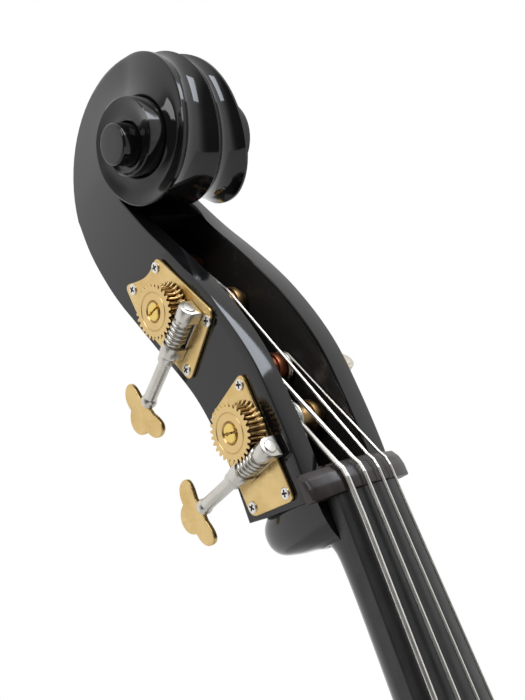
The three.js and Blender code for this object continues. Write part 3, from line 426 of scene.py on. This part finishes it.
LACQUER = lacquer()
SLOT_BLACK = slot_black()
BRASS = brass()
# Brass with painted shade in the wheel's tooth gaps.
BRASS_WITH_PAINTED_GAP_SHADE = brass_with_painted_gap_shade()
BRIGHT_BRASS = bright_brass()
NICKEL = nickel()
SCREW_NICKEL = screw_nickel()
# Painted shade for the recesses of the plate screws.
SCREW_RECESS_SHADE = painted_screw_recess_shade()
BRONZE = bronze("roller_bronze", (0.42, 0.27, 0.115), (0.24, 0.13, 0.05))
RED_BRONZE = bronze("roller_red_bronze", (0.4, 0.13, 0.06), (0.22, 0.08, 0.04))
NUT_EBONY = ebony("nut_ebony", (0.017, 0.012, 0.011), (0.045, 0.03, 0.027), 0.4)
BOARD_EBONY = ebony("fingerboard_black", (0.011, 0.011, 0.011), (0.026, 0.025, 0.024), 0.42)
MAPLE = maple()
BARE_WOOD = bare_wood()
STEEL = string_steel()
RUBBER = rubber()


# ---- Neck, pegbox and scroll ----
def spiral_point(turns, part_way=None):
    """A point of the scroll's rim; 0 turns is the back, then over the top and down the front. part_way
    turns the point to another place of the round, at the radius of turns."""
    place = turns * 4
    first = min(int(place), len(SPIRAL_RADII) - 2)
    at = lambda i: SPIRAL_RADII[min(max(i, 0), len(SPIRAL_RADII) - 1)]
    t = place - first
    slope_in = (at(first + 1) - at(first - 1)) / 2
    slope_out = (at(first + 2) - at(first)) / 2
    radius = ((2 * t ** 3 - 3 * t ** 2 + 1) * at(first) + (t ** 3 - 2 * t ** 2 + t) * slope_in
              + (3 * t ** 2 - 2 * t ** 3) * at(first + 1) + (t ** 3 - t ** 2) * slope_out)
    angle = 2 * math.pi * (turns if part_way is None else part_way)
    return np.array((SCROLL_Y + radius * math.cos(angle), SCROLL_Z + radius * math.sin(angle)))


# The pegbox's back edge and the cheeks' front rim, as (y, z) from the nut to the scroll.
BACK_EDGE = [(66.5, 7), (65, 36), (66.5, 60), (72, 84), (86, 115), (98, 141), (110, 167), (120, 195),
             (125, 220.5)]
FRONT_RIM = [(19, 1.9), (15.2, 14), (14.7, 48), (17.6, 84), (28.8, 120), (45.5, 153), (60.5, 179),
             (73, 204)]
# The slot starts and ends at these shares of the way up the pegbox.
SLOT_FROM = 0.085
SLOT_TO = 0.945
FLUTE_DEPTH = 3.6


def section(outer, inner, half, base, flute, depth=0.0, hollow=0.0, drop=0.0, treble=1.0):
    """One cross-section of the head between an outer and an inner rim point: the fluted rim, the two
    side faces, and the slot between the cheeks. half and base are the half-widths at the two rims, flute
    and hollow the depths of the rim's flutes and of the side faces' hollow, depth the slot's. drop is how
    far the rim's edges lie below its middle, and treble narrows the treble side."""
    across = inner - outer
    length = np.linalg.norm(across)
    across = across / length
    at = lambda depth, x: (x, *(outer + across * depth))
    chamfer = 2.2
    points = []
    for u in np.linspace(-1, 1, 25):
        x = u * (half - chamfer)
        points.append(at(flute * abs(math.sin(math.pi * abs(u))) ** 0.85 + drop * u * u + 0.25, x))
    right = [at(0.35 + drop, half - 0.5), at(1.0 + drop, half)]
    side_steps = np.array((0.06, 0.15, 0.3, 0.45, 0.6, 0.75, 0.88))
    for u in side_steps:
        inwards = hollow * math.sin(math.pi * u ** 1.2)
        right.append(at(1.0 + drop + u * (length - drop - 2.2), half + (base - half) * u - inwards))
    right += [at(length - 1.2, base), at(length - 0.35, base - 0.3), at(length, base - 1.2)]
    right += [at(length, SLOT_HALF + 0.9), at(length - min(depth, 0.5), SLOT_HALF + 0.2),
              at(length - min(depth, 1.2), SLOT_HALF)]
    for u in (0.25, 0.5, 0.75):
        right.append(at(length - depth * u if depth > 2 else length, SLOT_HALF))
    corner = min(depth, 4)
    floor = length - depth
    right += [at(floor + corner, SLOT_HALF), at(floor + corner * 0.3, SLOT_HALF - corner * 0.3),
              at(floor, SLOT_HALF - corner)]
    left = [(-x, y, z) for x, y, z in reversed(right)]
    return [(x * treble if x > 0 else x, y, z) for x, y, z in points + right + left]


def head_stations():
    """Sections up the pegbox and round the scroll's two turns."""
    count = 56
    outer = even_line(BACK_EDGE, count)
    inner = even_line(FRONT_RIM, count)
    sections = []
    for i in range(count):
        t = i / (count - 1)
        draw_in = min(max((outer[i][1] - 150) / 70, 0), 1)
        half = CHEEK_HALF + (23.5 - CHEEK_HALF) * draw_in ** 1.3
        base = CHEEK_HALF + (28 - CHEEK_HALF) * draw_in
        flute = FLUTE_DEPTH * min(t / 0.5, 1) ** 1.5
        length = np.linalg.norm(inner[i] - outer[i])
        back_wall = 8 + 15 * t
        floor = length - back_wall
        after = (i + 1) / (count - 1)
        in_slot = SLOT_FROM <= t <= SLOT_TO
        depths = [floor if in_slot else 0.0]
        if t < SLOT_FROM <= after or t <= SLOT_TO < after:
            depths.append(0.0 if in_slot else floor)
        for depth in depths:
            sections.append(section(outer[i], inner[i], half, base, flute, depth))
    last_turn = (len(SPIRAL_RADII) - 1) / 4
    for turn in np.linspace(0, 2.12, 170)[1:]:
        half = np.interp(turn, (0, 0.25, 0.5, 0.75, 0.9, 1.0, 1.1, 2),
                         (23.5, 14, 22, 30, 33, 36, 37.6, 38.5))
        base = np.interp(turn, (0, 0.25, 0.5, 0.75, 0.9, 1.0, 1.1), (28, 27, 27.5, 29, 32, 35, 36))
        hollow = np.interp(turn, (0, 0.15, 0.4, 0.8, 1.0), (0, 0.5, 1.8, 2.2, 0.9))
        flute = FLUTE_DEPTH * np.interp(turn, (0, 0.85, 1.0), (1, 1, 0))
        inner_rim = spiral_point(min(turn + 1, last_turn), turn)
        drop = np.interp(turn, (0.2, 0.3, 0.5, 0.85), (0, 1.0, 1.2, 0))
        treble = np.interp(turn, (0.05, 0.4), (1, 0.88))
        sections.append(section(spiral_point(turn), inner_rim, half, base, flute, 0.0, hollow, drop, treble))
    return sections


def scroll_eye(side):
    """The scroll's eye; the treble one stands out less."""
    tip = 47 if side < 0 else 38
    profile = rounded([(EYE_RADIUS + 2.5, 20), (EYE_RADIUS + 0.4, 28), (EYE_RADIUS, tip - 1),
                       (EYE_RADIUS - 0.8, tip - 0.1), (EYE_RADIUS * 0.5, tip), (0.02, tip)], 0.6)
    place = Matrix.Translation((0, SCROLL_Y, SCROLL_Z)) @ Matrix.Rotation(side * math.pi / 2, 4, "Y")
    return moved(turned(profile, 64), place)


def board_under(z):
    slope = (9 + 11.7 - 2.9 - 3.7) / BOARD_LENGTH
    return 2.9 + 3.7 + 9 - slope * z


def neck_stations():
    """(z along the neck, back of the neck, half-width) from the chin to the start of the heel."""
    return [(12, 66, 27), (3, 80, 27.5), (-6, 82, 27), (-13, 76, 25.5), (-17, 62, 24), (-20, 44, 22.5),
            (-26, 35, 21.5), (-90, 36, 22.2), (-200, 43, 25), (-290, 49.5, 27.8)]


def neck_ring(z, back, half, around=40):
    top = board_under(z) + 0.3
    fullness = np.interp(z, (-290, -200, -26, -15), (0.72, 0.9, 0.95, 0.72))
    ring = []
    for i in range(around + 1):
        angle = math.pi * i / around
        x = half * math.copysign(abs(math.cos(angle)) ** fullness, math.cos(angle))
        ring.append((x, top + (back - top) * math.sin(angle) ** (fullness + 0.06), z))
    return ring


def heel_rings():
    """From the neck's round back down to the foot on the ribs, in the head's frame."""
    back_line = even_line([(FRONT_Y + 14, HEEL_FOOT + 118), (FRONT_Y + 22, HEEL_FOOT + 84),
                           (FRONT_Y + 46, HEEL_FOOT + 56), (FRONT_Y + 92, HEEL_FOOT + 37),
                           (BACK_Y - 40, HEEL_FOOT + 29), (BACK_Y - 0.5, HEEL_FOOT + 23),
                           (BACK_Y - 0.5, HEEL_FOOT)], 30)
    front_line = even_line([(FRONT_Y - 24, HEEL_FOOT + 106), (FRONT_Y - 26.5, HEEL_FOOT + 70),
                            (FRONT_Y - 27, HEEL_FOOT + 30), (FRONT_Y - 27, HEEL_FOOT)], 30)
    rings = []
    for i, (back, front) in enumerate(zip(back_line, front_line)):
        t = i / 29
        ring = []
        for k in range(41):
            angle = math.pi * k / 40
            deep = math.sin(angle) ** (0.78 - 0.3 * t)
            half = (28.6 + 1.6 * t) * (1 - 0.24 * t * deep)
            x = half * math.copysign(abs(math.cos(angle)) ** (0.72 - 0.42 * t), math.cos(angle))
            y, z = front + (back - front) * deep
            ring.append(tuple(INTO_HEAD @ Vector((x, y, z))))
        rings.append(ring)
    return rings


def build_neck():
    stations = neck_stations()
    line = smooth_line(stations, 90)
    rings = [neck_ring(z, back, half) for z, back, half in line] + heel_rings()
    shapes = [skin(head_stations()), skin(rings)]
    for side in (-1, 1):
        shapes.append(scroll_eye(side))

    def zones(number, centre):
        """1 inside the slot, 0 on the rest."""
        between_cheeks = abs(centre.x) < SLOT_HALF + 0.15 and number == 0 and centre.z < 199
        return 1 if between_cheeks and below_rims(centre) else 0

    piece("neck_pegbox_and_scroll", shapes, [LACQUER, SLOT_BLACK], stands_for="neck_and_scroll",
          sharp=24, zones=zones)


def below_rims(centre):
    """True for points over 1 mm behind the front rim and over 6 mm in front of the back edge."""
    rim = np.array(FRONT_RIM)
    back = np.array(BACK_EDGE)
    front_y = np.interp(centre.z, rim[:, 1], rim[:, 0])
    back_y = np.interp(centre.z, back[:, 1], back[:, 0])
    return front_y + 1.0 < centre.y < back_y - 6


# ---- Fingerboard and nut ----
def build_board():
    rings = []
    for z in np.linspace(0, -BOARD_LENGTH, 30):
        t = -z / BOARD_LENGTH
        half = 22 + 24 * t
        clearance = 2.9 + 6.1 * t
        arch = NUT_ARCH + (0.0055 - NUT_ARCH) * t
        under = board_under(z)
        top = [(x, clearance + arch * x * x, z - 0.3) for x in np.linspace(-half + 0.8, half - 0.8, 25)]
        edge = clearance + arch * half * half
        level = z - 0.3
        rings.append(top + [(half, edge + 0.9, level), (half, under - 0.5, level), (half - 0.5, under, level),
                            (-half + 0.5, under, level), (-half, under - 0.5, level),
                            (-half, edge + 0.9, level)])
    piece("fingerboard_black_wood", skin(rings), BOARD_EBONY, stands_for="fingerboard")


def build_nut():
    under = board_under(0)
    rings = []
    for x in np.linspace(-NUT_HALF, NUT_HALF, 57):
        end = min(1.0, (NUT_HALF - abs(x)) / 1.2)
        bevel = 1.0 * (1 - math.sqrt(1 - (1 - end) ** 2)) if end < 1 else 0.0
        groove = 0.0
        for i in range(4):
            gap = (x - (i - 1.5) * NUT_SPACING) / (STRING_RADII[i] + 0.4)
            groove += 0.9 * math.exp(-gap * gap)
        top = STRING_RADII[0] - 0.1 + 0.0068 * x * x + groove * 0.9
        profile = rounded([(under - 1.5, 0.0), (top, 0.0), (top, 6), (top + 1.4, 11),
                           (top + 4.6, NUT_LENGTH), (under - 1.5, NUT_LENGTH)], 0.9)
        middle = np.array((under, NUT_LENGTH / 2))
        ring = []
        for corner in [(under, 0.0)] + profile + [(under, NUT_LENGTH)]:
            inwards = middle - np.array(corner)
            y, z = np.array(corner) + inwards / (np.linalg.norm(inwards) + 1e-6) * bevel
            ring.append((x, y, z))
        rings.append(ring)
    piece("ebony_nut", skin(rings), NUT_EBONY, stands_for="nut", sharp=40)


# ---- Tuning machines ----
JOINTS = {joint["name"]: joint for joint in frame["joints"]}
TO_HEAD = HEAD.inverted()
UPPER_BASS_PLATE = {
    "corners": [(-4.5, 30.3), (2.5, 26.8), (10, 25.3), (19, 27.2), (30.3, 31), (28.8, 6.7), (6.8, -40.2),
                (-31.3, -17.2)],
    "round": (4.5, 9, 12, 9, 5, 14, 5, 5),
    "screws": [(-1.1, 25.3), (24.2, 25), (-24.7, -19.1), (5.2, -33.7)]}
UPPER_TREBLE_PLATE = {
    "corners": [(-4.5, 30.3), (10, 25.5), (30.3, 31), (24, 6.7), (3, -40.2), (-31.3, -17.2)],
    "round": (4.5, 12, 5, 12, 5, 5),
    "screws": [(-1.1, 25.3), (23.5, 25), (-24.7, -19.1), (2, -33.7)]}
LOWER_BASS_PLATE = {
    "corners": [(-11.6, 27.4), (24.5, 17), (22, -40.6), (-13.6, -43.4)],
    "round": (5, 5, 5, 5),
    "screws": [(-7.4, 21.9), (20.0, 13.4), (18.0, -36.2), (-9.4, -38.2)]}
LOWER_TREBLE_PLATE = {
    "corners": [(-14, 28), (24, 22), (14.5, -14), (11, -41), (-20, -43), (-31, -14)],
    "round": (5, 5, 9, 5, 5, 9),
    "screws": [(-10, 23), (19, 17.5), (-25, -15.5), (6, -36)]}


def machine_frame(string, side):
    """X along the worm to its key, Y up from the worm to the wheel, Z out of the cheek; the origin lies on
    the wheel's axis, at the cheek's face."""
    roller, key = JOINTS[f"{string}_roller_turn"], JOINTS[f"{string}_key_turn"]
    turn = TO_HEAD.to_3x3()
    centre = TO_HEAD @ Vector(roller["pos_m"])
    worm = TO_HEAD @ Vector(key["pos_m"])
    along = (turn @ Vector(key["axis"])).normalized()
    out = Vector((side, 0, 0))
    up = centre - worm
    up -= along * up.dot(along) + out * up.dot(out)
    up.normalize()
    centre.x = side * CHEEK_HALF
    frame_matrix = Matrix((along, up, out)).transposed().to_4x4()
    frame_matrix.translation = centre
    return frame_matrix


def rounded_outline(corners, radii, steps=7):
    out = []
    count = len(corners)
    for i, corner in enumerate(corners):
        q = np.array(corner, float)
        p, r = np.array(corners[i - 1], float), np.array(corners[(i + 1) % count], float)
        reach_in = min(radii[i], np.linalg.norm(p - q) * 0.48)
        reach_out = min(radii[i], np.linalg.norm(r - q) * 0.48)
        start = q + (p - q) / np.linalg.norm(p - q) * reach_in
        end = q + (r - q) / np.linalg.norm(r - q) * reach_out
        for u in np.linspace(0, 1, steps):
            out.append(tuple((1 - u) ** 2 * start + 2 * u * (1 - u) * q + u * u * end))
    return out


def plate_point(machine, y, z):
    """A point given in the head's (y, z) from the wheel's centre, in the machine's X and Y."""
    along, up = machine.col[0], machine.col[1]
    offset = Vector((0, y, z))
    return offset.dot(along.to_3d()), offset.dot(up.to_3d())


def circle(radius, z, count):
    return [(radius * math.cos(a), radius * math.sin(a), z)
            for a in np.linspace(0, 2 * math.pi, count, endpoint=False)]


def screw_head():
    """A shallow domed head with a cross-shaped recess."""
    length, half_width = PLATE_SCREW_CROSS
    rings = [circle(PLATE_SCREW_RADIUS, 0, 64)]
    for level in np.linspace(1, 0.02, 22):
        ring = []
        for x, y, z in circle(PLATE_SCREW_RADIUS * level, 0, 64):
            narrow, wide = sorted((abs(x), abs(y)))
            height = 0.95 * math.sqrt(1 - 0.75 * level ** 4) + 0.1
            if wide < length and narrow < half_width:
                height -= 0.9 * (1 - 0.4 * min(wide / length, narrow / half_width))
            ring.append((x, y, height))
        rings.append(ring)
    return skin(rings)


def screw_zones(number, centre):
    """1 in the recess of a screw head, where shade is painted in, 0 on the rest."""
    length, half_width = PLATE_SCREW_CROSS
    narrow, wide = sorted((abs(centre.x), abs(centre.y)))
    return 1 if wide < length and narrow < half_width and centre.z > 0.1 else 0


def wheel_shape():
    """28 teeth with a hollowed throat, a groove ring on each face."""
    half = WHEEL_HALF
    pitch = 2 * math.pi / TEETH
    rings = []
    zs = [-half, -half + 0.25] + list(np.linspace(-half + 0.8, half - 0.8, 13)) + [half - 0.25, half]
    for z in zs:
        tip = 13.0 + 2.87 * (max(abs(z) - 2.6, 0) / 2.8) ** 1.5
        if abs(z) > half - 0.1:
            tip -= 0.35
        root = tip - 2.05
        ring = []
        flank = ((0.1, tip), (0.17, tip - 0.25), (0.27, root + 1.0), (0.36, root + 0.1))
        tooth = [(-0.5, root)] + [(-share, radius) for share, radius in reversed(flank)] + list(flank)
        for i in range(TEETH):
            centre = 2 * math.pi * (i + 0.5) / TEETH - math.pi / 2
            for share, radius in tooth:
                angle = centre + share * pitch
                ring.append((radius * math.cos(angle), radius * math.sin(angle), z))
        rings.append(ring)

    def face(sign):
        out = []
        angles = [math.atan2(y, x) for x, y, z in rings[0]]
        steps = ((13.2, 0.0), (10.9, 0.0), (10.6, 0.28), (10.2, 0.28), (9.9, 0.02), (6.3, 0.02), (5.9, 0.5),
                 (5.5, 0.9))
        for radius, depth in steps:
            out.append([(radius * math.cos(a), radius * math.sin(a), sign * (half - depth)) for a in angles])
        return out

    return skin(face(-1)[::-1] + rings + face(1))


def wheel_screw_shape():
    """A slotted round head with a small locking notch."""
    levels = (1.0, 0.985, 0.95, 0.9, 0.84, 0.78, 0.7, 0.62, 0.54, 0.46, 0.38, 0.3, 0.22, 0.14, 0.07, 0.005)
    rings = [circle(WHEEL_SCREW_RADIUS, -1.6, 72)]
    for level in levels:
        ring = []
        for x, y, z in circle(WHEEL_SCREW_RADIUS * level, 0, 72):
            height = 0.5 - 0.5 * level ** 8
            if abs(y) < 0.42:
                height -= 1.3
            if math.hypot(x - 1.6, y) < 1.0:
                height -= 0.7
            ring.append((x, y, height))
        rings.append(ring)
    return skin(rings)


def thread_shape():
    """A helix of rounded thread, just over five turns, on the worm's core."""
    per_turn = 28
    half = 7.4
    rings = []
    steps = int(per_turn * 2 * half / WORM_PITCH)
    for i in range(steps + 1):
        x = -half + 2 * half * i / steps
        angle = 2 * math.pi * x / WORM_PITCH
        fade = min(1.0, min(i, steps - i) / 8)
        crest = 4.1 + (5.6 - 4.1) * fade
        ring = []
        for share in np.linspace(-1, 1, 9):
            radius = 3.6 + (crest - 3.6) * math.sqrt(max(1 - share ** 2, 0)) ** 0.8
            ring.append((x + 1.2 * share, radius * math.cos(angle), radius * math.sin(angle)))
        rings.append(ring)
    return skin(rings)


def worm_shape():
    thin = SHAFT_RADIUS
    steps = [(0.02, -17.2), (3.3, -17.1), (thin, -16.6), (thin, -8.6), (4.3, -8.2), (4.3, 8.2), (thin, 8.6),
             (thin, 16.4), (4.9, 16.5), (4.9, 20.6), (thin, 21.6), (3.65, 49), (3.2, 50.5), (0.02, 50.6)]
    core = turned(rounded(steps, 0.35))
    ball = turned([(4.5 * math.sin(a), KEY_REACH - 1.0 - 4.5 * math.cos(a))
                   for a in np.linspace(0.01, math.pi - 0.01, 21)], 40)
    turn = Matrix.Rotation(math.pi / 2, 4, "Y")
    return [moved(core, turn), thread_shape(), moved(ball, turn)]


def saddle_shape(x0, x1):
    """A bearing with a round top on a square foot. It has no bore; the shaft passes through it."""
    height = WHEEL_MID - 2.6
    radius = 5.5
    outer = [(radius * math.cos(a), radius * math.sin(a)) for a in np.linspace(-0.1, math.pi + 0.1, 25)]
    outer = [(radius, -height)] + [(radius, -3.0)] + outer + [(-radius, -3.0), (-radius, -height)]
    edge = 0.5
    rings = []
    for inset, x in ((edge, x0), (edge * 0.3, x0 + edge * 0.3), (0, x0 + edge), (0, x1 - edge),
                     (edge * 0.3, x1 - edge * 0.3), (edge, x1)):
        rings.append([(x, y, z) for y, z in inset_outline(outer, inset)])
    return skin(rings)


def bracket_shapes():
    strip = slab([(-15, -4.6), (15, -4.6), (15, -3), (15, 5.2), (-15, 5.2), (-15, -3)], -WHEEL_MID + 2.3,
                 -WHEEL_MID + 3.2, 0.3)
    return [saddle_shape(-16.4, -8.9), saddle_shape(8.9, 16.2), strip]


def key_shape():
    """A flat blade with three round lobes."""
    corners = [((-3, -6), (-4, -10), (-6, -17), (0, -17.5)), ((0, -17.5), (6, -17.5), (8, -12), (8, -8)),
               ((8, -8), (13, -7), (15, -3), (15, 0)), ((15, 0), (15, 3), (13, 7), (8, 8)),
               ((8, 8), (8, 12), (6, 17.5), (0, 17.5)), ((0, 17.5), (-6, 17), (-4, 10), (-3, 6))]
    outline = []
    for points in corners:
        a, b, c, d = (np.array(p, float) for p in points)
        for u in np.linspace(0, 1, 10, endpoint=False):
            v = 1 - u
            outline.append(tuple(v ** 3 * a + 3 * u * v ** 2 * b + 3 * u * u * v * c + u ** 3 * d))
    outline += [(-3, 6), (-3.4, 3), (-3.5, 0), (-3.4, -3)]
    return slab(outline, -1.2, 1.2, 0.5)


def build_machine(string, side, plate, collar):
    machine = machine_frame(string, side)
    place = HEAD @ machine
    node = f"string_{string}"
    outline = [plate_point(machine, y, z) for y, z in rounded_outline(plate["corners"], plate["round"])]
    piece(f"{node}_brass_plate", slab(outline, 0.15, PLATE_TOP, 0.55), BRASS, place=place,
          stands_for=f"{node}_machine_plate")
    for number, (y, z) in enumerate(plate["screws"]):
        seat = Matrix.Translation((*plate_point(machine, y, z), PLATE_TOP - 0.15))
        spot = seat @ Matrix.Rotation(0.5 + number, 4, "Z")
        # The screw's cross recess takes the painted shade.
        piece(f"{node}_plate_screw_{number + 1}", screw_head(), [SCREW_NICKEL, SCREW_RECESS_SHADE],
              place=place @ spot, sharp=30, zones=screw_zones)
    worm = Matrix.Translation((0, -WORM_CENTRES, WHEEL_MID))
    piece(f"{node}_bearing_bracket", bracket_shapes(), NICKEL, place=place @ worm,
          stands_for=f"{node}_worm_bracket")
    piece(f"{node}_worm_and_shaft", worm_shape(), NICKEL, body=f"{string}_key", place=place @ worm,
          stands_for=f"{node}_worm_shaft", sharp=50)
    key_place = Matrix.Translation((KEY_REACH + 5.5, 0, 0)) @ Matrix.Scale(1.1, 4)
    piece(f"{node}_brass_key", key_shape(), BRASS, body=f"{string}_key", place=place @ worm @ key_place,
          stands_for=f"{node}_tuning_key")
    lift = Matrix.Translation((0, 0, WHEEL_MID))
    # The wheel's brass carries painted shade in its tooth gaps.
    piece(f"{node}_brass_wheel", wheel_shape(), BRASS_WITH_PAINTED_GAP_SHADE, body=f"{string}_roller", place=place @ lift,
          stands_for=f"{node}_worm_wheel", sharp=38)
    head_place = Matrix.Translation((0, 0, WHEEL_HALF - 0.1)) @ Matrix.Rotation(0.35, 4, "Z")
    piece(f"{node}_centre_screw", wheel_screw_shape(), BRIGHT_BRASS, body=f"{string}_roller",
          place=place @ lift @ head_place, stands_for=f"{node}_wheel_screw", sharp=30)
    build_roller(string, place, -CHEEK_HALF - collar)


def build_roller(string, place, flange):
    """The string's roller; flange is where its collar ends, measured from the cheek's face."""
    end = -CHEEK_HALF - SLOT_HALF - 7
    wall = -CHEEK_HALF - SLOT_HALF + 1
    profile = [(0.02, end), (ARBOR_RADIUS, end), (ARBOR_RADIUS, wall), (ROLLER_RADIUS, wall),
               (ROLLER_RADIUS, flange - 4), (ROLLER_RADIUS + 2, flange - 4), (ROLLER_RADIUS + 2, flange),
               (ROLLER_RADIUS, flange), (ROLLER_RADIUS, -14.5), (ARBOR_RADIUS, -14.5), (ARBOR_RADIUS, 2.4),
               (0.02, 2.4)]
    material = RED_BRONZE if string in "dg" else BRONZE
    piece(f"string_{string}_bronze_roller", turned(rounded(profile, 0.7), 40), material,
          body=f"{string}_roller", place=place, stands_for=f"string_{string}_roller")


def build_machines():
    build_machine("e", -1, LOWER_BASS_PLATE, 8)
    build_machine("g", 1, LOWER_TREBLE_PLATE, -9)
    build_machine("a", -1, UPPER_BASS_PLATE, 8)
    build_machine("d", 1, UPPER_TREBLE_PLATE, 8)


# ---- Strings ----
# Where each string lands on its roller, across the pegbox, and which way its turns go.
ROLLERS = {"e": (-9, 1), "a": (-14, 1), "d": (4, -1), "g": (16, -1)}
LANDING = 0.6


def beside_roller(string, clear, angle):
    """(y, z) at a distance from the axis of a string's roller. Angle 0 is its front, a quarter turn its
    top."""
    axis = TO_HEAD @ Vector(JOINTS[f"{string}_roller_turn"]["pos_m"])
    return axis.y - clear * math.cos(angle), axis.z + clear * math.sin(angle)


def string_path(name, i):
    """From the tailpiece over the bridge and the nut to the turns on the roller. The D string passes just
    in front of the A string's roller."""
    roller_x, wind = ROLLERS[name]
    radius = STRING_RADII[i]
    clear = ROLLER_RADIUS + 0.3 + radius
    nut_x = (i - 1.5) * NUT_SPACING
    bridge_x = (i - 1.5) * BRIDGE_SPACING
    crest = NUT_ARCH * nut_x ** 2
    tail = INTO_HEAD @ Vector(((i - 1.5) * 17, FRONT_Y - 117, BRIDGE_Z - 144))
    bridge = (bridge_x, BRIDGE_ARCH * bridge_x ** 2 + 0.2, -STRING_LENGTH)
    knots = [(nut_x, crest, -14), (nut_x, crest, 0), (nut_x, crest, 6), (nut_x, crest + 1, 11),
             (nut_x, crest + 3.6, NUT_LENGTH)]
    if name == "d":
        knots.append((4.4, *beside_roller("a", clear + 0.3, 0.45)))
    coil = []
    for turn in np.linspace(0, WINDS, 61):
        x = roller_x + wind * (2 * radius + 0.3) * turn
        coil.append((x, *beside_roller(name, clear, LANDING + 2 * math.pi * turn)))
    knots.append(coil[0])
    runs = []
    for first, last in zip(np.array(knots), np.array(knots[1:])):
        runs += [first + (last - first) * u for u in (0, 0.12, 0.5, 0.88)]
    return [tuple(tail), bridge, *smooth_line(runs, 70), *coil]


def build_strings():
    for i, name in enumerate("eadg"):
        piece(f"{name}_string_wound", tube(string_path(name, i), STRING_RADII[i], 14), STEEL,
              stands_for=f"{name}_string", sharp=60)


# ---- Carried-over CAD nodes ----
CARRIED = {
    "front_lining": BARE_WOOD,
    "back_lining": BARE_WOOD,
    "neck_block": BARE_WOOD,
    "end_block": BARE_WOOD,
    "treble_lower_corner_block": BARE_WOOD,
    "bass_lower_corner_block": BARE_WOOD,
    "treble_upper_corner_block": BARE_WOOD,
    "bass_upper_corner_block": BARE_WOOD,
    "bass_bar": BARE_WOOD,
    "sound_post": BARE_WOOD,
    "bridge": MAPLE,
    "tailpiece": NUT_EBONY,
    "saddle": NUT_EBONY,
    "endpin_socket": NUT_EBONY,
    "tail_wire": NICKEL,
    "endpin_thumb_screw": NICKEL,
    "endpin_rod": NICKEL,
    "endpin_tip": RUBBER,
}


def build_body_part(name):
    """A copy of one of the body's plates or its ribs, whose round stretches shade smoothly."""
    node = frame["nodes"][name]
    work = bmesh.new()
    work.from_mesh(node.data)
    work.transform(node.matrix_world)
    bmesh.ops.remove_doubles(work, verts=work.verts, dist=1e-6)
    mesh = bpy.data.meshes.new(f"lacquered_{name}")
    work.to_mesh(mesh)
    work.free()
    mesh.shade_smooth()
    mesh.set_sharp_from_angle(angle=math.radians(36))
    mesh.materials.clear()
    mesh.materials.append(LACQUER)
    made = bpy.data.objects.new(f"lacquered_{name}", mesh)
    bpy.context.scene.collection.objects.link(made)
    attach(made, "instrument")
    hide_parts(name)


def dress_carried():
    for name, material in CARRIED.items():
        node = frame["nodes"][name]
        node.data.materials.clear()
        node.data.materials.append(material)


# ---- Studio and camera ----
def build_camera():
    right = Vector((0.73885, -0.63020, -0.23867))
    down = Vector((-0.11636, 0.22955, -0.96631))
    ahead = Vector((0.66375, 0.74173, 0.09627))
    data = bpy.data.cameras.new("camera")
    data.lens = 56.7
    data.sensor_width = 36
    camera = bpy.data.objects.new("camera", data)
    turn = Matrix((right, -down, -ahead)).transposed()
    camera.matrix_world = Matrix.Translation((-0.3947, -0.4567, 1.7339)) @ turn.to_4x4()
    data.clip_start = 0.02
    bpy.context.scene.collection.objects.link(camera)
    bpy.context.scene.camera = camera


def build_floor():
    """A floor under the bass, below what the photo's camera sees."""
    size = 3
    mesh = bpy.data.meshes.new("floor")
    corners = [(-size, -size, 0), (size, -size, 0), (size, size, 0), (-size, size, 0)]
    mesh.from_pydata(corners, [], [(0, 1, 2, 3)])
    floor = bpy.data.objects.new("floor", mesh)
    made = Shader("pale_floor", (0.85, 0.85, 0.85), 0.9)
    made.feed("Base Color", made.blend(made.noise(2), (0.86, 0.86, 0.86), (0.83, 0.83, 0.83)))
    mesh.materials.append(made.material)
    bpy.context.scene.collection.objects.link(floor)


def area_light(name, place, target, size, power, colour=(1, 1, 1)):
    data = bpy.data.lights.new(name, "AREA")
    data.shape = "RECTANGLE"
    data.size, data.size_y = size
    data.energy = power
    data.color = colour
    light = bpy.data.objects.new(name, data)
    light.location = place
    light.rotation_mode = "QUATERNION"
    light.rotation_quaternion = (Vector(target) - Vector(place)).to_track_quat("-Z", "Y")
    bpy.context.scene.collection.objects.link(light)


def build_light():
    world = bpy.data.worlds.new("studio")
    bpy.context.scene.world = world
    world.use_nodes = True
    nodes, links = world.node_tree.nodes, world.node_tree.links
    background = nodes["Background"]
    place = nodes.new("ShaderNodeTexCoord").outputs["Generated"]
    facing = nodes.new("ShaderNodeVectorMath")
    facing.operation = "DOT_PRODUCT"
    facing.inputs[1].default_value = (0.66, 0.74, 0.10)
    links.new(place, facing.inputs[0])
    ramp = nodes.new("ShaderNodeMapRange")
    ramp.interpolation_type = "SMOOTHSTEP"
    for socket, number in zip(("From Min", "From Max", "To Min", "To Max"), (-0.7, -0.1, 0.08, 1.0)):
        ramp.inputs[socket].default_value = number
    links.new(facing.outputs["Value"], ramp.inputs["Value"])
    seen = nodes.new("ShaderNodeLightPath").outputs["Is Camera Ray"]
    choose = nodes.new("ShaderNodeMix")
    links.new(seen, choose.inputs["Factor"])
    links.new(ramp.outputs["Result"], choose.inputs["A"])
    choose.inputs["B"].default_value = 1.0
    links.new(choose.outputs["Result"], background.inputs["Strength"])
    background.inputs["Color"].default_value = (1, 1, 1, 1)
    top = Vector((0, 0, 1.85))
    area_light("window_right", top + Vector((0.55, -0.95, 1.12)), top, (0.62, 0.95), 13, (0.85, 0.91, 1.0))
    area_light("key_left", top + Vector((-1.6, -1.0, 1.5)), top, (1.2, 1.2), 20)


def main():
    build_camera()
    build_neck()
    build_board()
    build_nut()
    build_machines()
    build_strings()
    for name in ("top_plate", "back_plate", "ribs"):
        build_body_part(name)
    dress_carried()
    build_floor()
    build_light()
    bpy.context.scene.view_settings.view_transform = "Standard"


main()
